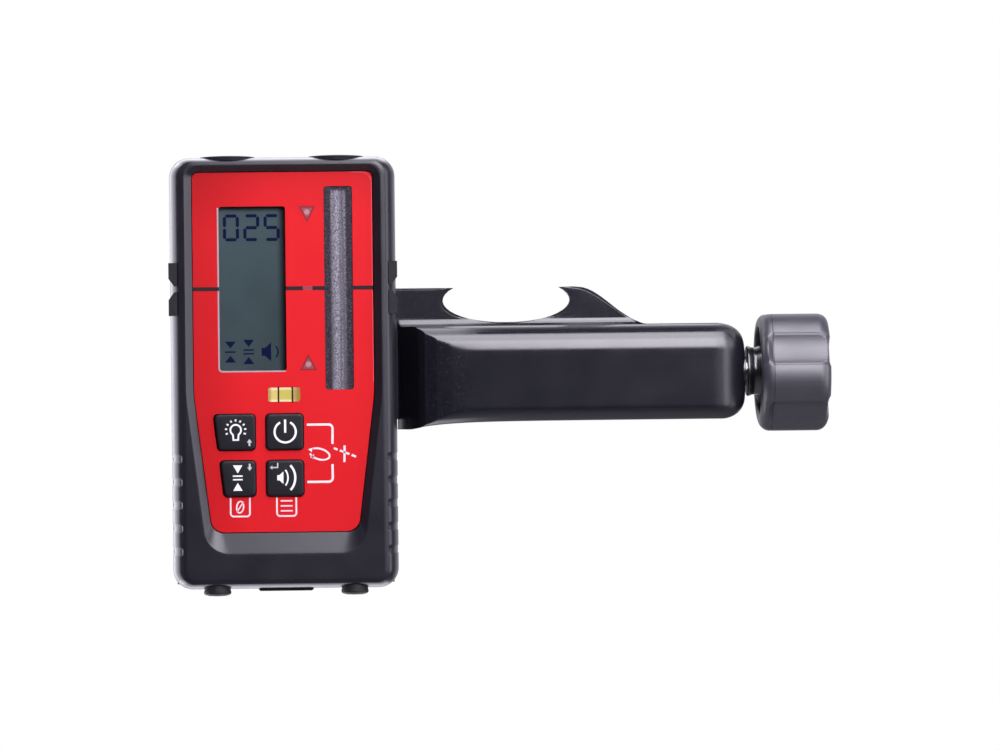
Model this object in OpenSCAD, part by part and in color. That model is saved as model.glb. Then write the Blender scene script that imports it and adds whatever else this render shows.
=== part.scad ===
// Laser receiver on a rod clamp. Origin: rod axis (X = 0) at the reading edge (Z = 0),
// on the back of the reading plate (Y = 0). The receiver faces -Y.

/* [Receiver housing] */
// Width of the housing's rim on each side of the faceplate
side_rim = 8.1; // [7.5:0.1:10]
// Width of the housing's rim above the faceplate
top_rim = 5.4; // [4.6:0.1:7]
// Height of the housing below the zero line
body_bottom = 105; // [104:0.5:110]
// Depth between the main board and the battery bay
bay_space = 4.75; // [4:0.05:8]
// Corner radius of the housing in the front view
body_corner_r = 7; // [5:0.5:8]
// Rounding of the front and rear edges
body_edge_r = 2.4; // [1.2:0.1:3]
// Wall thickness of the two shells
wall = 2.2; // [1.8:0.1:2.6]

/* [Faceplate] */
// Width of the faceplate left of the display
plate_left_w = 9.1; // [8:0.1:12]
// Width of the faceplate between display and receiving window
plate_mid_w = 13.5; // [12:0.1:16]
// Width of the faceplate right of the receiving window
plate_right_w = 7; // [6:0.1:10]
// Width of the faceplate above the receiving window
plate_top_w = 5.1; // [4:0.1:7]
// Bottom edge of the faceplate below the zero line
plate_bottom = 85; // [83:0.5:87]
// Height below the zero line where the sides start to taper
plate_shoulder = 37; // [30:1:42]
// Width lost on each side between shoulder and bottom edge
plate_taper = 5.9; // [3:0.1:6]
// Thickness of the faceplate
plate_t = 1.4; // [1:0.1:2]
// Depth of the faceplate's surface below the rim
bevel_depth = 2.3; // [1.5:0.1:3]
// Width of the sloping bevel beside and above the faceplate
bevel_w = 2.8; // [2:0.1:3]
// Width of the sloping bevel below the faceplate
bevel_bottom_w = 7.5; // [5:0.5:9]

/* [Display and windows] */
// Width of the display cut-out
lcd_w = 23.3; // [20:0.1:24]
// Height of the display cut-out
lcd_h = 57.4; // [50:0.2:60]
// Width of the receiving window
window_w = 9.9; // [8:0.1:11]
// Height of the receiving window
window_h = 71; // [60:0.5:72]
// Distance from the display cut-out to the middle of the indicator lenses
lens_gap = 7.6; // [6:0.1:8]
// Width of the level vial
vial_w = 11.2; // [9:0.1:12]
// Height of the level vial
vial_h = 4.9; // [4:0.1:5]
// Middle of the vial below the zero line
vial_z = 37.1; // [36.8:0.1:37.5]

/* [Keys] */
// Width of a right-hand key
key_w = 13.1; // [11:0.1:13.4]
// Height of each key
key_h = 12.6; // [11:0.1:13]
// Distance between the two rows of keys
key_pitch_z = 16.2; // [15.6:0.1:16.6]
// Middle of the upper row of keys below the zero line
key_row_z = 50.1; // [49.8:0.1:50.4]
// Gap between the two columns of keys
key_column_gap = 3.65; // [3.4:0.05:4]
// Width of the faceplate left of the upper left key
key_margin = 6.5; // [6:0.1:9]
// Height of the keys above the faceplate
key_proud = 1.1; // [0.6:0.1:1.6]
// Travel of each key
key_travel = 0.8; // [0.5:0.1:1]

/* [Battery bay] */
// Diameter of a cell
cell_d = 14.2; // [13.6:0.1:14.4]
// Length of a cell with its terminal
cell_l = 50.2; // [49:0.1:50.6]
// Width of the battery door
door_w = 62; // [60:0.5:64]
// Height of the hinge axis below the zero line
hinge_z = 62; // [61:0.5:63]
// Diameter of the hinge pin
hinge_pin_d = 2; // [1.6:0.1:2.2]
// Travel of the battery latch
latch_travel = 1.5; // [1:0.1:2]

/* [Outer fittings] */
// Diameter of a top magnet
magnet_d = 19.2; // [17:0.2:20]
// Distance between the top magnets
magnet_pitch = 38; // [34:0.5:40]
// Height of the magnets above the housing
magnet_proud = 0.7; // [0.4:0.1:1.2]
// Diameter of a rubber foot
foot_d = 9.2; // [8:0.1:10]
// Distance between the feet
foot_pitch = 48; // [44:0.5:50]
// Height of the feet below the housing
foot_proud = 2.4; // [1.5:0.1:3]
// Length of one index pad along the side
index_l = 8.2; // [7:0.1:9]
// Height of the index pads beyond the side
index_proud = 0.4; // [0.2:0.1:0.8]
// Distance between grip grooves
groove_pitch = 8.1; // [7:0.1:8.4]

/* [Rod clamp] */
// Distance from the rod axis to the receiver's middle
receiver_offset = 79.2; // [78:0.2:84]
// Widest rod between the jaw pads
rod_gap = 45; // [40:1:48]
// Closing travel of the sliding jaw
jaw_travel = 30; // [20:1:30]
// Reach of the jaws behind the reading plate
jaw_reach = 30; // [24:1:36]
// Thickness of the reading plate and the foot
reading_t = 4; // [3.6:0.2:5]
// Half width of the reading notch at its widest
notch_half_w = 22.6; // [20:0.2:23]
// Height of the widest place of the notch below the reading edge
notch_throat_z = 4.5; // [4:0.1:5]
// Depth of the notch from its widest place to its bottom
notch_depth = 8; // [7:0.1:8.2]
// Top of the arm below the reading edge
arm_top_z = 13.4; // [13.2:0.1:14]
// Height of the arm
arm_h = 33; // [32:0.5:36]
// Depth of the arm in front of the rod's bearing plane
arm_depth = 24; // [23:0.5:28]
// Right end of the arm from the rod axis
arm_end_x = 83.8; // [83:0.2:90]
// Rounding of the arm's front edges
arm_edge_r = 6.5; // [5:0.5:7]
// Diameter of the spindle
spindle_d = 8; // [7:0.2:9]

/* [Knob] */
// Diameter over the knob's lobes
knob_d = 42; // [40:0.5:46]
// Length of the lobed grip
knob_l = 25.3; // [24:0.5:28]
// Number of lobes
knob_lobes = 5; // [4:1:6]
// Depth of the valleys between lobes
valley_depth = 2.6; // [1.5:0.1:2.8]
// Diameter of the hub
hub_d = 18; // [17:0.5:20]

/* [Hidden] */
$fn = 64;

// Shared fits and small common sizes
overrun = 1;
film = 0.02;
snug = 0.05;
running_gap = 0.08;
clear_gap = 0.3;
corner_steps = 8;
edge_steps = 5;
curve_steps = 28;

// Receiver frame: x from the housing's middle, y from the front rim, z from the zero line
plate_w = plate_left_w + lcd_w + plate_mid_w + window_w + plate_right_w;
plate_top = window_h / 2 + plate_top_w;
body_top = plate_top + top_rim;
body_w = plate_w + 2 * side_rim;
half_w = body_w / 2;
plate_y = bevel_depth;
plate_back = plate_y + plate_t;
front_wall_back = plate_back + wall;
flange_w = 1.5;
flange_t = 1;
inner_r = body_corner_r - wall;

// Faceplate
plate_corner_r = 2.2;
plate_foot_r = 4.7;
plate_bend_r = 60;
rim_corner_r = 4;
rim_foot_r = 9;
plate_gap = 0.25;

// Display, boards and light path
lcd_x = -plate_w / 2 + plate_left_w + lcd_w / 2;
lcd_corner_r = 1;
lcd_pane_t = 1;
lcd_module_t = 2.8;
board_t = 1.6;
lcd_pane_y = plate_back;
lcd_module_y = lcd_pane_y + lcd_pane_t;
board_y = lcd_module_y + lcd_module_t;
window_x = plate_w / 2 - plate_right_w - window_w / 2;
sensor_board_margin = 2.4;
sensor_board_half_w = window_w / 2 + sensor_board_margin;
board_margin = 4.4;
board_gap = 1.1;
board_left = -plate_w / 2 + board_margin;
board_right = window_x - sensor_board_half_w - board_gap;
board_top = plate_top - board_margin;
board_bottom = plate_bottom - board_margin;
window_sink = 0.4;
diffuser_w = 5.2;
diffuser_t = 1.4;
diffuser_y = plate_back + flange_t;
photodiode_count = 9;
photodiode_w = 4.6;
lens_x = lcd_x + lcd_w / 2 + lens_gap;
lens_end_gap = 9.2;
lens_pitch = window_h / 2 - lens_end_gap;
lens_w = 4.4;
lens_h = 4;
level_lens_w = 3.2;
level_lens_h = 1.2;
led_d = 2.8;
led_flange_d = 3.4;
led_flange_t = 0.8;
standoff_d = 4;
standoff_inset = 3;
sensor_standoff_z = window_h / 2 + flange_w + snug + standoff_d / 2;

// Level vial
vial_corner_r = 0.8;
vial_back = board_y;
vial_wall = 0.6;
vial_flange_w = 0.75;
vial_bore_d = vial_h - 2 * vial_wall;
vial_bore_l = vial_w - 2 * vial_wall;
vial_bore_y = plate_y + vial_h / 2;
bubble_gap = 0.4;
bubble_d = vial_bore_d - 2 * bubble_gap;
bubble_l = 5;
bubble_end_r = 0.95;

// Keys
key_corner_r = 1.5;
key_flange_w = 0.8;
key_flange_t = 1.1;
key_gap = 0.25;
key_slant = plate_taper / (plate_bottom - plate_shoulder);
key_flange_gap = 0.1;
key_flange_y = plate_back + key_flange_gap;
key_back = key_flange_y + key_flange_t;
switch_t = 0.9;
switch_d = 5;
stem_d = 3.2;
stem_back = board_y - switch_t - key_travel - snug;
left_key_right = -key_w / 2 - key_column_gap;
left_key_left = -plate_w / 2 + key_margin;

// Buzzer on the main board
buzzer_d = 12;
buzzer_t = 3.6;
buzzer_x = -16;
buzzer_inset = 14.2;
buzzer_z = board_top - buzzer_inset;
buzzer_hole_d = 2;

// Screws, gasket and the clamp's insert
screw_inset = 7;
screw_top_inset = 8;
upper_screw_z = body_top - screw_top_inset;
lower_screw_z = -51;
boss_d = 6.6;
screw_d = 3;
screw_hole_d = screw_d + 2 * running_gap;
screw_head_d = 5.6;
screw_head_t = 2.2;
screw_sink = 3;
screw_bite = 8;
drive_d = 1.5;
drive_depth = 1.1;
gasket_w = 0.8;
gasket_t = 1.2;
insert_d = 9.5;
insert_l = 12;
insert_hole_d = 6.35;
insert_boss_d = 15;
insert_z = -23;

// Battery bay
tub_wall = 1.2;
bay_end_room = 3.2;
bay_half_l = cell_l / 2 + bay_end_room;
cell_gap = 0.25;
cell_web = 1.2;
cell_side_room = 1.2;
cell_pitch = cell_d + cell_web;
body_t = board_y + board_t + bay_space + tub_wall + cell_gap + cell_d + clear_gap + wall;
rear_wall_y = body_t - wall;
front_depth = body_t / 2;
receiver_y = -(reading_t + body_t);
cell_y = rear_wall_y - clear_gap - cell_d / 2;
tub_floor_y = cell_y - cell_d / 2 - cell_gap;
door_bottom = body_bottom - wall - clear_gap;
door_lip = 2.2;
bay_bottom = door_bottom - door_lip;
bay_top = bay_bottom - 2 * cell_d - cell_web - 2 * cell_gap - 2 * cell_side_room;
lower_cell_z = -bay_bottom + cell_gap + cell_side_room + cell_d / 2;
cell_nub_d = 5.4;
cell_nub_l = 1.4;
contact_t = 0.5;
contact_w = 9;
spring_d = 7.5;
spring_tip_d = 4;
ledge_t = 1.4;
ledge_reach = 7;
ledge_top = hinge_z - ledge_reach;
hinge_r = 2;
hinge_y = body_t - hinge_r;
hinge_clear = 0.45;
barrel_inset = 4;
pin_overhang = 2;
barrel_half_l = door_w / 2 - barrel_inset;
pin_half_l = door_w / 2 + pin_overhang;
door_edge_gap = clear_gap;
door_seat_gap = 0.15;

// Battery latch
latch_w = 18.7;
latch_proud = 1;
latch_h = 8;
latch_t = 3.6;
latch_sink = 0.2;
latch_tongue = 0.9;
latch_tongue_t = 1.2;
latch_rail_w = 2.6;
latch_r = 1.2;
latch_bottom = body_bottom + latch_proud;
latch_top = latch_bottom - latch_h;
latch_notch_top = latch_top - latch_travel - clear_gap;
latch_rib_count = 3;
latch_rib_h = 0.5;
latch_rib_pitch = 1.6;
latch_rib_l = 12.4;

// Outer fittings
magnet_margin = 0.6;
magnet_y = magnet_d / 2 + magnet_margin;
magnet_seat = 1.2;
magnet_dish = 0.4;
magnet_rim = 1.4;
magnet_dish_r = 4.8;
foot_margin = 0.9;
foot_y = foot_d / 2 + foot_margin;
foot_plug_d = 6;
foot_rim_r = 0.8;
foot_seat = 1.2;
foot_plug_grip = 0.8;
foot_plug_l = wall + foot_plug_grip;
index_gap = 1;
index_chamfer_x = 2;
index_chamfer_z = 2.7;
index_front_y = 0.7;
index_step_y = 5;
index_back_y = 14;
index_depth = 2.6;
index_skin = 1.1;
groove_count = 5;
groove_r = 2.2;
groove_depth = 1;
groove_front_y = 1.1;
first_groove_z = -59.2;

// Clamp plate, pointers and arm
receiver_x = -receiver_offset;
fin_flat_end = 25.5;
fin_end = 50;
foot_reach = 20;
foot_left = receiver_x - foot_reach;
foot_corner_r = 12;
arm_low_z = -(arm_top_z + arm_h);
arm_wall = 2.6;
arm_end_r = 8;
arm_flare = 1.5;
arm_ramp_x = -16.7;
arm_step_x = -30;
arm_step_y = -16;
arm_root_x = -38.8;
cavity_left = -11;
cavity_end_wall = 3.8;
cavity_right = arm_end_x - cavity_end_wall;
arm_front_y = -arm_depth;
rib_t = 3;
rib_depth = 5;
rib_inset = 8;
rib_start = 14;
rib_left = receiver_x + rib_start;
arm_fillet = 3;
land_t = 0.4;
land_half_l = 20;
land_inset = 0.6;

// Jaws
jaw_pad_t = 2;
jaw_tip_t = 4;
jaw_root_t = 11;
jaw_tip_r = 1.5;
jaw_top_gap = 2.6;
jaw_bottom_gap = 2.4;
jaw_top_z = -(arm_top_z + jaw_top_gap);
jaw_bottom_z = arm_low_z + jaw_bottom_gap;
jaw_face = rod_gap / 2 + jaw_pad_t;
pad_margin = 2;
carriage_l = 19.5;
carriage_h = 12;
carriage_front_y = -19.5;
spindle_y = -13;
spindle_z = -30.5;

// Spindle, bush and knob
journal_d = 6;
journal_l = 4;
spindle_end_gap = 1;
spindle_left = cavity_left + spindle_end_gap;
bush_d = 11;
bush_flange_d = 16;
bush_flange_t = 1.5;
bush_out = 0.3;
washer_d = 14;
washer_t = 0.9;
clip_d = 13;
clip_t = 1;
clip_groove_depth = 0.7;
clip_groove_d = spindle_d - 2 * clip_groove_depth;
bush_flange_x = cavity_right - bush_flange_t;
washer_x = bush_flange_x - running_gap - washer_t;
clip_x = washer_x - running_gap - clip_t;
knob_hub_x = arm_end_x + bush_out + clear_gap;
knob_gap = 4.7;
knob_rim_x = arm_end_x + knob_gap;
knob_end_x = knob_rim_x + knob_l;
knob_r = knob_d / 2;
knob_edge_r = 4;
cup_wall = 2.8;
cup_end = 7.5;
cup_floor_r = 1.4;
cup_lip_r = 0.9;
hub_waist_share = 0.8;
hub_waist_l = 4;
valley_r = 12;
lobe_angle = -11;
knob_turn = 360 / knob_lobes;
knob_pin_d = 2.5;
knob_pin_inset = 4;
knob_end_wall = 4;
knob_pin_x = knob_end_x - cup_end - knob_pin_inset;
spindle_right = knob_end_x - knob_end_wall;

// Clamp screw
clamp_screw_d = insert_hole_d - 2 * running_gap;
clamp_screw_reach = 9;
clamp_head_d = 20;
clamp_head_l = 9;
clamp_head_lobes = 8;
clamp_head_notch_d = 4;

// Outline functions: points in the XZ plane
function unit(v) = v / norm(v);
function turn(a, b) = (b - a + 540) % 360 - 180;
function arc_points(m, r, from, sweep) =
    [for (i = [0 : corner_steps])
        let (a = from + sweep * i / corner_steps)
        m + r * [cos(a), sin(a)]];
function corner_arc(a, b, c, r) =
    let (u = unit(a - b), v = unit(c - b), half = acos(u * v) / 2)
    let (m = b + unit(u + v) * r / sin(half))
    let (p = b + u * r / tan(half) - m, q = b + v * r / tan(half) - m)
    let (from = atan2(p[1], p[0]))
    arc_points(m, r, from, turn(from, atan2(q[1], q[0])));
function rounded(points, radii) =
    let (n = len(points))
    [for (k = [0 : n - 1])
        each (radii[k] == 0
            ? [points[k]]
            : corner_arc(points[(k + n - 1) % n], points[k], points[(k + 1) % n], radii[k]))];
function box_points(x0, x1, z0, z1) = [[x0, z0], [x1, z0], [x1, z1], [x0, z1]];
function round_box(x0, x1, z0, z1, r) = rounded(box_points(x0, x1, z0, z1), [r, r, r, r]);
function grown_box(x, z, w, h, grow, r) =
    round_box(x - w / 2 - grow, x + w / 2 + grow, z - h / 2 - grow, z + h / 2 + grow, r + grow);
function housing_outline(inset) =
    round_box(-half_w + inset, half_w - inset, -body_bottom + inset, body_top - inset, body_corner_r - inset);
function tapered_outline(half_top, half_foot, top, foot, top_r, foot_r) =
    rounded(
        [[-half_foot, -foot], [half_foot, -foot], [half_top, -plate_shoulder], [half_top, top],
            [-half_top, top], [-half_top, -plate_shoulder]],
        [foot_r, foot_r, plate_bend_r, top_r, top_r, plate_bend_r]);
function plate_outline(grow) =
    tapered_outline(plate_w / 2 + grow, plate_w / 2 - plate_taper + grow, plate_top + grow,
        plate_bottom + grow, plate_corner_r + grow, plate_foot_r + grow);
function rim_outline() =
    tapered_outline(plate_w / 2 + bevel_w, plate_w / 2 - plate_taper + bevel_w - bevel_bottom_w * key_slant,
        plate_top + bevel_w, plate_bottom + bevel_bottom_w, rim_corner_r, rim_foot_r);
function key_outline(x0, x1, row, slant, grow) =
    let (z1 = -key_row_z - row * key_pitch_z + key_h / 2 + grow, z0 = z1 - key_h - 2 * grow)
    rounded([[x0 - grow + slant * key_h, z0], [x1 + grow, z0], [x1 + grow, z1], [x0 - grow, z1]],
        [for (k = [0 : 3]) key_corner_r + grow]);
function smooth(s) = s * s * (3 - 2 * s);

// Solids swept along each axis
module slab(y0, y1, points) {
    translate([0, y1, 0]) rotate([90, 0, 0]) linear_extrude(y1 - y0) polygon(points);
}
module rod_x(y, z, d, x0, x1) {
    translate([x0, y, z]) rotate([0, 90, 0]) cylinder(d = d, h = x1 - x0);
}
module rod_y(x, z, d, y0, y1) {
    translate([x, y1, z]) rotate([90, 0, 0]) cylinder(d = d, h = y1 - y0);
}
module rod_z(x, y, d, z0, z1) {
    translate([x, y, z0]) cylinder(d = d, h = z1 - z0);
}
module column(z0, z1, points) {
    translate([0, 0, z0]) linear_extrude(z1 - z0) polygon(points);
}
module in_receiver() {
    translate([receiver_x, receiver_y, 0]) children();
}

// Outer form of one housing half: outlines inset along a quarter round, hulled
module housing_half(front) {
    hull() for (k = [0 : edge_steps]) {
        a = 90 * k / edge_steps;
        inset = body_edge_r * (1 - sin(a));
        depth = body_edge_r * (1 - cos(a));
        if (front) slab(depth, front_depth, housing_outline(inset));
        else slab(front_depth, body_t - depth, housing_outline(inset));
    }
}
module screw_axes() {
    for (x = [-half_w + screw_inset, half_w - screw_inset])
        for (z = [upper_screw_z, lower_screw_z]) translate([x, 0, z]) children();
}
module standoff_axes() {
    for (x = [board_left + standoff_inset, board_right - standoff_inset])
        for (z = [board_top - standoff_inset, -board_bottom + standoff_inset])
            translate([x, 0, z]) children();
}
module sensor_standoff_axes() {
    for (side = [-1, 1])
        translate([window_x, 0, side * sensor_standoff_z]) children();
}
module grip_grooves() {
    for (side = [-1, 1])
        for (k = [0 : groove_count - 1])
            rod_y(side * (half_w + groove_r - groove_depth), first_groove_z - k * groove_pitch,
                2 * groove_r, groove_front_y, body_t - groove_front_y);
}
module magnet_pockets() {
    for (side = [-1, 1])
        rod_z(side * magnet_pitch / 2, magnet_y, magnet_d + 2 * snug, body_top - magnet_seat - snug,
            body_top + overrun);
}
module index_pad(side, up, y1) {
    outer = half_w + index_proud;
    z0 = index_gap;
    z1 = index_gap + index_l;
    points = [
        [outer - index_proud - index_depth, z0], [outer - index_chamfer_x, z0],
        [outer, z0 + index_chamfer_z], [outer, z1], [outer - index_proud - index_depth, z1]
    ];
    scale([side, 1, up]) slab(index_front_y, y1, points);
}
module index_blocks() {
    for (side = [-1, 1])
        for (up = [-1, 1]) {
            index_pad(side, up, index_step_y);
            intersection() {
                index_pad(side, up, index_back_y);
                slab(0, body_t, box_points(side < 0 ? -body_w : half_w - index_skin,
                    side < 0 ? -half_w + index_skin : body_w, -body_top, body_top));
            }
        }
}

// Keys share one form: cap, flange behind the faceplate and switch stem
module key_form(x0, x1, row, slant) {
    z = -key_row_z - row * key_pitch_z;
    slab(plate_y - key_proud, key_back, key_outline(x0, x1, row, slant, 0));
    slab(key_flange_y, key_back, key_outline(x0, x1, row, slant, key_flange_w));
    rod_y((x0 + x1) / 2, z, stem_d, key_back - film, stem_back);
}
module key_places(y0, y1, grow) {
    for (row = [0, 1]) {
        slab(y0, y1, key_outline(-key_w / 2, key_w / 2, row, 0, grow));
        slab(y0, y1, key_outline(left_key_left + row * key_pitch_z * key_slant, left_key_right, row,
            key_slant, grow));
    }
}
module lens_outlines(grow) {
    for (up = [-1, 1]) {
        scale([1, up]) polygon([
            [lens_x - lens_w / 2 - grow, lens_pitch + lens_h / 2 + grow],
            [lens_x + lens_w / 2 + grow, lens_pitch + lens_h / 2 + grow],
            [lens_x, lens_pitch - lens_h / 2 - grow]
        ]);
    }
    polygon(grown_box(lens_x, 0, level_lens_w, level_lens_h, grow, snug));
}
module lens_slab(y0, y1, grow) {
    translate([0, y1, 0]) rotate([90, 0, 0]) linear_extrude(y1 - y0) lens_outlines(grow);
}

// Receiver pieces
module front_shell() {
    color("#2b2a31") in_receiver() difference() {
        union() {
            difference() {
                housing_half(true);
                hull() {
                    slab(-film, film, rim_outline());
                    slab(plate_y - film, plate_y, plate_outline(plate_gap));
                }
                slab(plate_y - overrun, plate_back, plate_outline(plate_gap));
                slab(front_wall_back, front_depth + overrun, round_box(-half_w + wall, half_w - wall,
                    -body_bottom + wall, body_top - wall, inner_r));
            }
            screw_axes() rod_y(0, 0, boss_d, plate_back + film, front_depth);
            standoff_axes() rod_y(0, 0, standoff_d, front_wall_back - film, board_y);
            sensor_standoff_axes() rod_y(0, 0, standoff_d, front_wall_back - film, board_y);
        }
        screw_axes() rod_y(0, 0, screw_d - 2 * snug, front_depth - screw_bite, front_depth + overrun);
        slab(plate_back - overrun, board_y, grown_box(lcd_x, 0, lcd_w, lcd_h, flange_w + snug, lcd_corner_r));
        slab(plate_back - overrun, front_wall_back + overrun,
            grown_box(window_x, 0, window_w, window_h, flange_w + snug, lcd_corner_r));
        slab(plate_back - overrun, front_wall_back + overrun,
            grown_box(0, -vial_z, vial_w, vial_h, vial_flange_w + snug, vial_corner_r));
        key_places(plate_back - overrun, front_wall_back + overrun, key_flange_w + key_gap);
        for (z = [-lens_pitch, 0, lens_pitch])
            rod_y(lens_x, z, led_d + 2 * snug, plate_back - overrun, front_wall_back + overrun);
        magnet_pockets();
        for (side = [-1, 1]) {
            rod_z(side * foot_pitch / 2, foot_y, foot_plug_d, -body_bottom - overrun,
                -body_bottom + wall + overrun);
            rod_z(side * foot_pitch / 2, foot_y, foot_d, -body_bottom - overrun, -body_bottom + foot_seat);
        }
        index_blocks();
        grip_grooves();
    }
}
module rear_shell() {
    color("#2b2a31") in_receiver() difference() {
        union() {
            difference() {
                housing_half(false);
                slab(front_depth - overrun, rear_wall_y, round_box(-half_w + wall, half_w - wall,
                    -body_bottom + wall, body_top - wall, inner_r));
                slab(rear_wall_y - overrun, body_t + overrun,
                    box_points(-door_w / 2 - door_edge_gap, door_w / 2 + door_edge_gap,
                        -door_bottom - door_edge_gap, -hinge_z + hinge_r + hinge_clear));
            }
            slab(rear_wall_y - ledge_t, rear_wall_y,
                box_points(-half_w + wall / 2, half_w - wall / 2, -body_bottom + wall / 2, -ledge_top));
            slab(tub_floor_y - tub_wall, rear_wall_y - ledge_t + film,
                box_points(-bay_half_l - tub_wall, bay_half_l + tub_wall, -bay_bottom - tub_wall,
                    -bay_top + tub_wall));
            screw_axes() rod_y(0, 0, boss_d, front_depth, rear_wall_y + film);
            rod_y(0, insert_z, insert_boss_d, body_t - insert_l - wall, rear_wall_y + film);
            for (side = [-1, 1])
                rod_x(hinge_y, -hinge_z, 2 * hinge_r,
                    side < 0 ? -door_w / 2 - overrun : barrel_half_l + clear_gap,
                    side < 0 ? -barrel_half_l - clear_gap : door_w / 2 + overrun);
        }
        rod_x(hinge_y, -hinge_z, 2 * (hinge_r + hinge_clear), -barrel_half_l - clear_gap,
            barrel_half_l + clear_gap);
        rod_x(hinge_y, -hinge_z, hinge_pin_d + 2 * snug, -pin_half_l - snug, pin_half_l + snug);
        slab(tub_floor_y, body_t, box_points(-bay_half_l, bay_half_l, -bay_bottom, -bay_top));
        slab(body_t - latch_t - latch_sink - 2 * clear_gap, body_t + overrun,
            box_points(-latch_w / 2 - latch_rail_w - clear_gap, latch_w / 2 + latch_rail_w + clear_gap,
                -body_bottom - overrun, -latch_notch_top + clear_gap));
        screw_axes() {
            rod_y(0, 0, screw_hole_d, front_depth - overrun, body_t);
            rod_y(0, 0, screw_head_d + 2 * clear_gap, body_t - screw_sink - screw_head_t, body_t + overrun);
        }
        rod_y(0, insert_z, insert_d + 2 * snug, body_t - insert_l, body_t + overrun);
        difference() {
            slab(front_depth - overrun, front_depth + gasket_t, housing_outline(wall - gasket_w));
            slab(front_depth - 2 * overrun, front_depth + gasket_t + overrun, housing_outline(wall + film));
        }
        magnet_pockets();
        grip_grooves();
    }
}
module housing_gasket() {
    color("#101010") in_receiver() difference() {
        slab(front_depth, front_depth + gasket_t, housing_outline(wall - gasket_w));
        slab(front_depth - overrun, front_depth + gasket_t + overrun, housing_outline(wall));
    }
}
module faceplate() {
    color("#d7232b") in_receiver() difference() {
        slab(plate_y, plate_back, plate_outline(0));
        slab(plate_y - overrun, plate_back + overrun, grown_box(lcd_x, 0, lcd_w, lcd_h, 0, lcd_corner_r));
        slab(plate_y - overrun, plate_back + overrun,
            grown_box(window_x, 0, window_w, window_h, snug, lcd_corner_r));
        slab(plate_y - overrun, plate_back + overrun,
            grown_box(0, -vial_z, vial_w, vial_h, snug, vial_corner_r));
        key_places(plate_y - overrun, plate_back + overrun, key_gap);
        lens_slab(plate_y - overrun, plate_back + overrun, snug);
    }
}
module lcd_window() {
    color("#9fb0a8") in_receiver()
        slab(lcd_pane_y, lcd_module_y, grown_box(lcd_x, 0, lcd_w, lcd_h, flange_w, lcd_corner_r));
}
module lcd_module() {
    color("#58655f") in_receiver()
        slab(lcd_module_y, board_y, grown_box(lcd_x, 0, lcd_w, lcd_h, flange_w, lcd_corner_r));
}
module receiving_window() {
    color("#38333c") in_receiver() {
        slab(plate_y + window_sink, diffuser_y, grown_box(window_x, 0, window_w, window_h, 0, lcd_corner_r));
        slab(plate_back, diffuser_y, grown_box(window_x, 0, window_w, window_h, flange_w, lcd_corner_r));
    }
}
module diffuser_strip() {
    color("#77727a") in_receiver()
        slab(diffuser_y, diffuser_y + diffuser_t, grown_box(window_x, 0, diffuser_w, window_h, 0, snug));
}
module photodiode_board() {
    color("#1f5d3a") in_receiver()
        slab(board_y, board_y + board_t, box_points(window_x - sensor_board_half_w,
            window_x + sensor_board_half_w, -sensor_standoff_z - standoff_d / 2,
            sensor_standoff_z + standoff_d / 2));
}
module photodiodes() {
    pitch = (window_h - photodiode_w) / (photodiode_count - 1);
    color("#201c28") in_receiver()
        for (k = [0 : photodiode_count - 1])
            slab(diffuser_y + diffuser_t, board_y, grown_box(window_x,
                -window_h / 2 + photodiode_w / 2 + k * pitch, photodiode_w, photodiode_w, 0, snug));
}
module indicator_lenses() {
    color("#c98a8c") in_receiver() lens_slab(plate_y, plate_back, 0);
}
module indicator_leds() {
    color("#e6dede") in_receiver()
        for (z = [-lens_pitch, 0, lens_pitch]) {
            rod_y(lens_x, z, led_d, plate_back, board_y);
            rod_y(lens_x, z, led_flange_d, front_wall_back + snug, front_wall_back + led_flange_t);
        }
}
module vial_block() {
    color("#d9d27a") in_receiver() difference() {
        union() {
            slab(plate_y, vial_back, grown_box(0, -vial_z, vial_w, vial_h, 0, vial_corner_r));
            slab(plate_back, vial_back, grown_box(0, -vial_z, vial_w, vial_h, vial_flange_w, vial_corner_r));
        }
        rod_x(vial_bore_y, -vial_z, vial_bore_d, -vial_bore_l / 2, vial_bore_l / 2);
    }
}
module bubble_form() {
    translate([-bubble_l / 2, vial_bore_y, -vial_z + (vial_bore_d - bubble_d) / 2]) rotate([0, 90, 0])
        rotate_extrude() polygon(rounded([[0, 0], [bubble_d / 2, 0], [bubble_d / 2, bubble_l], [0, bubble_l]],
            [0, bubble_end_r, bubble_end_r, 0]));
}
module vial_liquid() {
    color("#c9d64a") in_receiver() difference() {
        rod_x(vial_bore_y, -vial_z, vial_bore_d, -vial_bore_l / 2, vial_bore_l / 2);
        bubble_form();
    }
}
module vial_bubble() {
    color("#f4f4d8") in_receiver() bubble_form();
}
module key_backlight() {
    color("#1d1c22") in_receiver() key_form(left_key_left, left_key_right, 0, key_slant);
}
module key_power() {
    color("#1d1c22") in_receiver() key_form(-key_w / 2, key_w / 2, 0, 0);
}
module key_accuracy() {
    color("#1d1c22") in_receiver()
        key_form(left_key_left + key_pitch_z * key_slant, left_key_right, 1, key_slant);
}
module key_sound() {
    color("#1d1c22") in_receiver() key_form(-key_w / 2, key_w / 2, 1, 0);
}
module key_switches() {
    color("#b9b9bd") in_receiver()
        for (row = [0, 1])
            for (x = [0, (left_key_left + row * key_pitch_z * key_slant + left_key_right) / 2])
                rod_y(x, -key_row_z - row * key_pitch_z, switch_d, board_y - switch_t, board_y);
}
module main_board() {
    color("#1f5d3a") in_receiver()
        slab(board_y, board_y + board_t, box_points(board_left, board_right, -board_bottom, board_top));
}
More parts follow.
